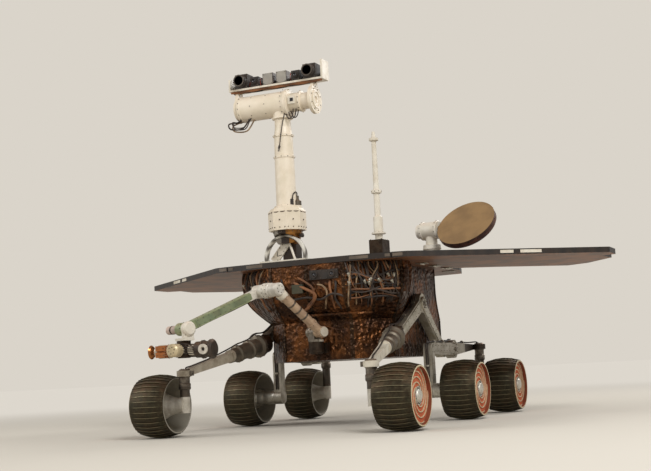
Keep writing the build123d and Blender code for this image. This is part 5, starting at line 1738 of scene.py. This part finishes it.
@dataclass
class Arm:
    """The instrument arm and its turret."""

    heading: float = -25.0
    upper_length: float = 290.0
    upper_rise: float = 38.0
    fore_offset: float = 115.0
    fore_length: float = 416.0
    fore_drop: float = 21.2
    turret_hang: float = 84.0

    def __post_init__(self) -> None:
        """Find the joints in the parked pose."""
        self.out = Vector((cos(radians(self.heading)), sin(radians(self.heading)), 0))
        self.side = Vector((-self.out.y, self.out.x, 0))
        self.upper = self.out * cos(radians(self.upper_rise)) + UP * sin(radians(self.upper_rise))
        self.fore = self.out * cos(radians(self.fore_drop)) - UP * sin(radians(self.fore_drop))
        self.shoulder = at(430, 45, 404)
        self.elbow = self.shoulder + self.upper * self.upper_length * MM
        self.root = self.elbow - self.side * self.fore_offset * MM
        self.wrist = self.root + self.fore * self.fore_length * MM
        self.turret = self.wrist - UP * self.turret_hang * MM

    def build(self) -> None:
        """Dress the arm from the shoulder out."""
        paint(ENAMEL_WHITE, "arm_wrist")
        near = self.shoulder - self.side * 48 * MM
        body = Zone(near - Vector((60, 40, 60)) * MM, near + Vector((60, 40, 60)) * MM, "7D776B", 0.7, 0.42)
        paint(Zoned("Shoulder, bare with a white end", "D6D0C2", "B5AD9C", (body,)), "arm_shoulder")
        white_elbow = Zone(self.elbow - Vector((33, 60, 28)) * MM, self.elbow + Vector((60, 60, 45)) * MM,
                           "DCD7CB", 0.1, 0.4)
        paint(Zoned("Upper arm, tan with a white elbow", "B59C80", "977E68", (white_elbow,)), "upper_arm")
        collar = self.elbow - self.side * 92 * MM
        white_collar = Zone(collar - Vector((58, 60, 40)) * MM, collar + Vector((54, 60, 40)) * MM, "DAD5C8",
                            0.1, 0.4)
        motor = self.wrist - self.side * 82 * MM
        pink_motor = Zone(motor - Vector((38, 36, 22)) * MM, motor + Vector((38, 36, 22)) * MM, "C9B5A8",
                          0.1, 0.45)
        paint(Zoned("Forearm, sage coating", "8F9A74", "6F7A56", (white_collar, pink_motor)), "forearm")
        paint(DARK_METAL, "turret_hub")
        self.reach()
        self.dress_forearm()
        self.instruments()

    def reach(self) -> None:
        """Screws and cable of the shoulder and the upper arm."""
        screws, upper, cable = Mesh(), Mesh(), Mesh()
        screws.bolts(self.shoulder - self.side * 75 * MM, -self.side, 13 * MM, 6, 1.8 * MM)
        screws.studs(self.shoulder - self.side * 26 * MM, self.side, 24 * MM, 8, 1.8 * MM)
        screws.piece("shoulder_screws", TITANIUM, "arm_shoulder")
        for share in (0.2, 0.82):
            upper.studs(self.shoulder.lerp(self.elbow, share), self.upper, 22 * MM, 8, 1.8 * MM)
        upper.bolts(self.elbow + self.side * 26 * MM, self.side, 15 * MM, 6, 2 * MM)
        upper.studs(self.elbow - self.side * 38 * MM, self.side, 30 * MM, 10, 1.9 * MM)
        lift = self.upper.cross(self.side)
        start, end = self.shoulder.lerp(self.elbow, 0.24), self.shoulder.lerp(self.elbow, 0.8)
        for turn in (0.0, 0.35):
            away = -self.side * cos(turn) + lift * sin(turn)
            line = [start.lerp(end, k / 6) + away * (21.5 + 0.8 * sin(k * 2.1)) * MM for k in range(7)]
            line = [start.lerp(end, -0.03) + away * 15 * MM] + line + [start.lerp(end, 1.03) + away * 15 * MM]
            cable.tube(curve(line, 5), 2.4 * MM, 8)
        for share in (0.25, 0.5, 0.75):
            upper.turned(start.lerp(end, share) - self.upper * 4 * MM, self.upper,
                         [(20 * MM, 0), (20.5 * MM, 0.5 * MM), (20.5 * MM, 7.5 * MM), (20 * MM, 8 * MM)], 24)
        sleeve = Mesh()
        sleeve.turned(self.elbow, -self.upper, [
            (0, 24 * MM), (22.6 * MM, 24 * MM), (23 * MM, 25 * MM), (23 * MM, 45 * MM),
            (22.6 * MM, 46 * MM), (0, 46 * MM)], 32)
        sleeve.piece("elbow_sleeve", ENAMEL_WHITE, "upper_arm")
        upper.piece("upper_arm_screws", TITANIUM, "upper_arm")
        cable.piece("upper_arm_cable", HARNESS_COPPER, "upper_arm")

    def dress_forearm(self) -> None:
        """Dark side panels with their screws, the elbow's studs, the cable under the box, the motor's cap."""
        panels, screws, cable, cap = Mesh(), Mesh(), Mesh(), Mesh()
        lift = self.fore.cross(self.side)
        axes = Matrix((self.fore, self.side, lift)).transposed()
        middle = self.root.lerp(self.wrist, 0.5)
        for way in (-1, 1):
            panels.box(middle + self.side * way * 17.3 * MM, (300 * MM, 1.2 * MM, 25 * MM), axes)
            for k in range(11):
                for edge in (-10, 10):
                    seat = self.fore * (-140 + 28 * k) + self.side * way * 17.8 + lift * edge
                    screws.bolt(middle + seat * MM, self.side * way, 1.6 * MM)
        for k in range(9):
            screws.bolt(middle + self.fore * (-128 + 32 * k) * MM + lift * 17 * MM, lift, 1.8 * MM)
        start = self.elbow - self.side * 45.3 * MM
        screws.studs(start - self.side * 13 * MM, self.side, 32 * MM, 12, 2 * MM)
        screws.bolts(start - self.side * 94 * MM, -self.side, 15 * MM, 6, 2 * MM)
        screws.studs(self.wrist + self.side * 12 * MM, self.side, 26 * MM, 10, 1.8 * MM)
        line = [middle + self.fore * (-150 + 50 * k) * MM - lift * (19.6 + sin(k)) * MM for k in range(7)]
        root, tip = (middle + (self.fore * way - lift * 14) * MM for way in (-162, 162))
        line = [root, *line, tip]
        cable.tube(curve(line, 5), 2.8 * MM, 8)
        motor_end = self.wrist - self.side * 100 * MM
        cap.turned(motor_end + self.side * 34 * MM, -self.side,
                   [(17.2 * MM, 0), (17.6 * MM, 1 * MM), (17.6 * MM, 9 * MM), (17.2 * MM, 10 * MM)], 24)
        cap.turned(motor_end, -self.side, [(0, 0), (13 * MM, 0), (12 * MM, 2 * MM), (0, 2.4 * MM)], 24)
        panels.piece("forearm_panels", ENAMEL_SAGE, "forearm", smooth=False)
        screws.piece("forearm_screws", TITANIUM, "forearm")
        cable.piece("forearm_cable", HARNESS_DARK, "forearm")
        cap.piece("wrist_motor_bands", DARK_METAL, "forearm")

    def instruments(self) -> None:
        """Coat each instrument its own way, wire them to the hub and set their screws."""
        spot = self.turret

        def zone(low: Sequence[float], high: Sequence[float], tone: str, metallic: float,
                 roughness: float) -> Zone:
            """Make a zone from corners counted from the turret's middle, in millimetres."""
            return Zone(spot + Vector(low) * MM, spot + Vector(high) * MM, tone, metallic, roughness)

        zones = (
            zone((-60, 55, -60), (60, 145, 60), "3E3B37", 0.55, 0.42),
            zone((38.5, 86, -24), (50, 134, 24), "DDD6C8", 0.1, 0.4),
            zone((37.2, 86, -24), (38.5, 134, 24), "141210", 0.0, 0.3),
            zone((-60, -156, -60), (60, -132, 60), "B87A48", 0.9, 0.28),
            zone((9.5, -110, -26), (41, -63, 24), "A8642F", 0.35, 0.35),
            zone((42, -30, -30), (110, 30, 30), "C8B894", 0.3, 0.4),
            zone((-100, -30, -30), (-50, 30, 30), "4A443B", 0.6, 0.4),
        )
        paint(Zoned("Instruments, mixed coatings", "D2CBBB", "A9A08C", zones, 0.4, 0.3), "instruments")
        screws, wires, copper = Mesh(), Mesh(), Mesh()
        screws.studs(spot + PORT * 90 * MM, PORT, 36 * MM, 14, 1.9 * MM)
        screws.studs(spot + PORT * 127 * MM, PORT, 38 * MM, 14, 1.9 * MM)
        screws.studs(spot - PORT * 70 * MM, PORT, 27 * MM, 8, 1.8 * MM)
        screws.studs(spot + AHEAD * 60 * MM, AHEAD, 26 * MM, 8, 1.8 * MM)
        screws.bolts(spot + AHEAD * 96 * MM, AHEAD, 13 * MM, 6, 1.8 * MM)
        screws.bolts(spot - AHEAD * 92 * MM, -AHEAD, 20 * MM, 8, 2 * MM)
        screws.studs(spot + UP * 20 * MM, UP, 28 * MM, 8, 1.8 * MM)
        for y in (-100, -72):
            for z in (-14, 12):
                screws.bolt(spot + Vector((39, y, z)) * MM, AHEAD, 1.8 * MM)
        for k in range(5):
            lift = 18 - 9 * k
            for mesh, radius, places in (
                (wires, 1.9, ((26, -6 + k, lift), (40, 12 + 3 * k, lift + 6), (38, 40 + 4 * k, lift + 4),
                              (31, 62 + 3 * k, lift * 0.6))),
                (copper, 1.7, ((24, -14 - k, lift), (44, -34, lift + 5), (40, -56 - 3 * k, lift),
                               (34, -66 - 3 * k, lift * 0.7))),
            ):
                mesh.tube(curve([spot + Vector(place) * MM for place in places], 6), radius * MM, 6)
        screws.piece("turret_screws", TITANIUM, "turret")
        wires.piece("turret_wires", HARNESS_DARK, "turret")
        copper.piece("turret_leads", HARNESS_COPPER, "turret")


@dataclass
class Studio:
    """Camera, soft lamps and pale floor."""

    camera_place: Vector = field(default_factory=lambda: Vector((5.083, 2.146, 0.237)))
    yaw: float = 203.83
    pitch: float = 6.43
    roll: float = -2.92
    focal_pixels: float = 1206.0
    image_width: float = 651.0
    pale: str = "DAD4CA"
    floor_reach: float = 60.0
    fade_start: float = 1.6
    fade_end: float = 7.0

    def build(self) -> None:
        """Place the camera, the lamps, the floor and the world."""
        self.camera()
        self.lamps()
        self.floor()
        self.world()

    def camera(self) -> None:
        """Set the camera as the photograph's: low, ahead and to port, looking slightly up."""
        yaw, pitch, roll = (radians(a) for a in (self.yaw, self.pitch, self.roll))
        ahead = Vector((cos(pitch) * cos(yaw), cos(pitch) * sin(yaw), sin(pitch)))
        right = ahead.cross(UP).normalized()
        top = right.cross(ahead)
        across = right * cos(roll) + top * sin(roll)
        rise = top * cos(roll) - right * sin(roll)
        data = bpy.data.cameras.new("camera")
        data.sensor_width = 36.0
        data.lens = self.focal_pixels / self.image_width * data.sensor_width
        camera = bpy.data.objects.new("camera", data)
        turn = Matrix((across, rise, -ahead)).transposed().to_4x4()
        camera.matrix_world = Matrix.Translation(self.camera_place + AHEAD * AXLE) @ turn
        bpy.context.scene.collection.objects.link(camera)
        bpy.context.scene.camera = camera

    def lamps(self) -> None:
        """Hang one large soft key ahead to port and a weaker fill to starboard."""
        for name, place, size, watts in (
            ("key", Vector((3.2, 3.4, 4.2)), 2.6, 210.0),
            ("fill", Vector((2.6, -3.8, 2.6)), 3.0, 70.0),
            ("rim", Vector((-4.0, 1.5, 3.6)), 2.4, 90.0),
        ):
            data = bpy.data.lights.new(name, "AREA")
            data.shape = "DISK"
            data.size = size
            data.energy = watts
            lamp = bpy.data.objects.new(name, data)
            lamp.location = place
            aim = (Vector((0, 0, 0.6)) - place).normalized()
            lamp.rotation_mode = "QUATERNION"
            lamp.rotation_quaternion = aim.to_track_quat("-Z", "Y")
            bpy.context.scene.collection.objects.link(lamp)

    def floor(self) -> None:
        """Lay a wide pale floor that keeps the shadows."""
        mesh = bpy.data.meshes.new("floor")
        reach = self.floor_reach
        mesh.from_pydata([(-reach, -reach, 0), (reach, -reach, 0), (reach, reach, 0), (-reach, reach, 0)], [],
                         [(0, 1, 2, 3)])
        plane = bpy.data.objects.new("floor", mesh)
        material = bpy.data.materials.new("Pale floor")
        material.use_nodes = True
        tree = material.node_tree
        tree.nodes.clear()
        place = add(tree, "TexCoord").outputs["Object"]
        apart = add(tree, "VectorMath", {"operation": "LENGTH", 0: place}).outputs["Value"]
        far = add(tree, "MapRange", SMOOTH | {0: apart, 1: self.fade_start, 2: self.fade_end})
        near = add(tree, "Mix", RGBA | {0: far, 6: "CDC7BC", 7: "000000"}).outputs[2]
        shader = add(tree, "BsdfPrincipled", {
            "Base Color": near, "Roughness": 0.9, "Specular IOR Level": 0.1,
            "Emission Color": self.pale, "Emission Strength": far})
        add(tree, "OutputMaterial", {"Surface": shader})
        mesh.materials.append(material)
        bpy.context.scene.collection.objects.link(plane)

    def world(self) -> None:
        """Light from all round at a plain level, with a pale backdrop behind the machine."""
        world = bpy.data.worlds.new("studio")
        world.use_nodes = True
        tree = world.node_tree
        tree.nodes.clear()
        seen = add(tree, "LightPath").outputs["Is Camera Ray"]
        soft = add(tree, "Background", {"Color": "F2EEE8", "Strength": 0.55})
        backdrop = add(tree, "Background", {"Color": self.pale, "Strength": 1.0})
        add(tree, "OutputWorld", {"Surface": add(tree, "MixShader", {0: seen, 1: soft, 2: backdrop})})
        bpy.context.scene.world = world


def main() -> None:
    """Build every sub-assembly in order."""
    logging.basicConfig(level=logging.INFO, format="%(name)s: %(message)s")
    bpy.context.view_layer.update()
    bpy.context.scene.view_settings.view_transform = "Standard"
    wheels = [Wheel(place, hand) for place in ("front", "middle", "rear") for hand in Hand]
    port_hubs = tuple(w.hub for w in wheels if w.hand is Hand.LEFT)
    metal = WheelMetal("Wheel billet, anodised and cream", port_hubs)
    for wheel in wheels:
        paint(metal, f"wheel_{wheel.label}")
    for part in (Studio(), *wheels, Suspension(), Body(), SolarArray(), Mast(), CameraHead(), Antennas(),
                 Arm()):
        part.build()
        log.info("built %s", type(part).__name__)


if __name__ == "__main__":
    main()
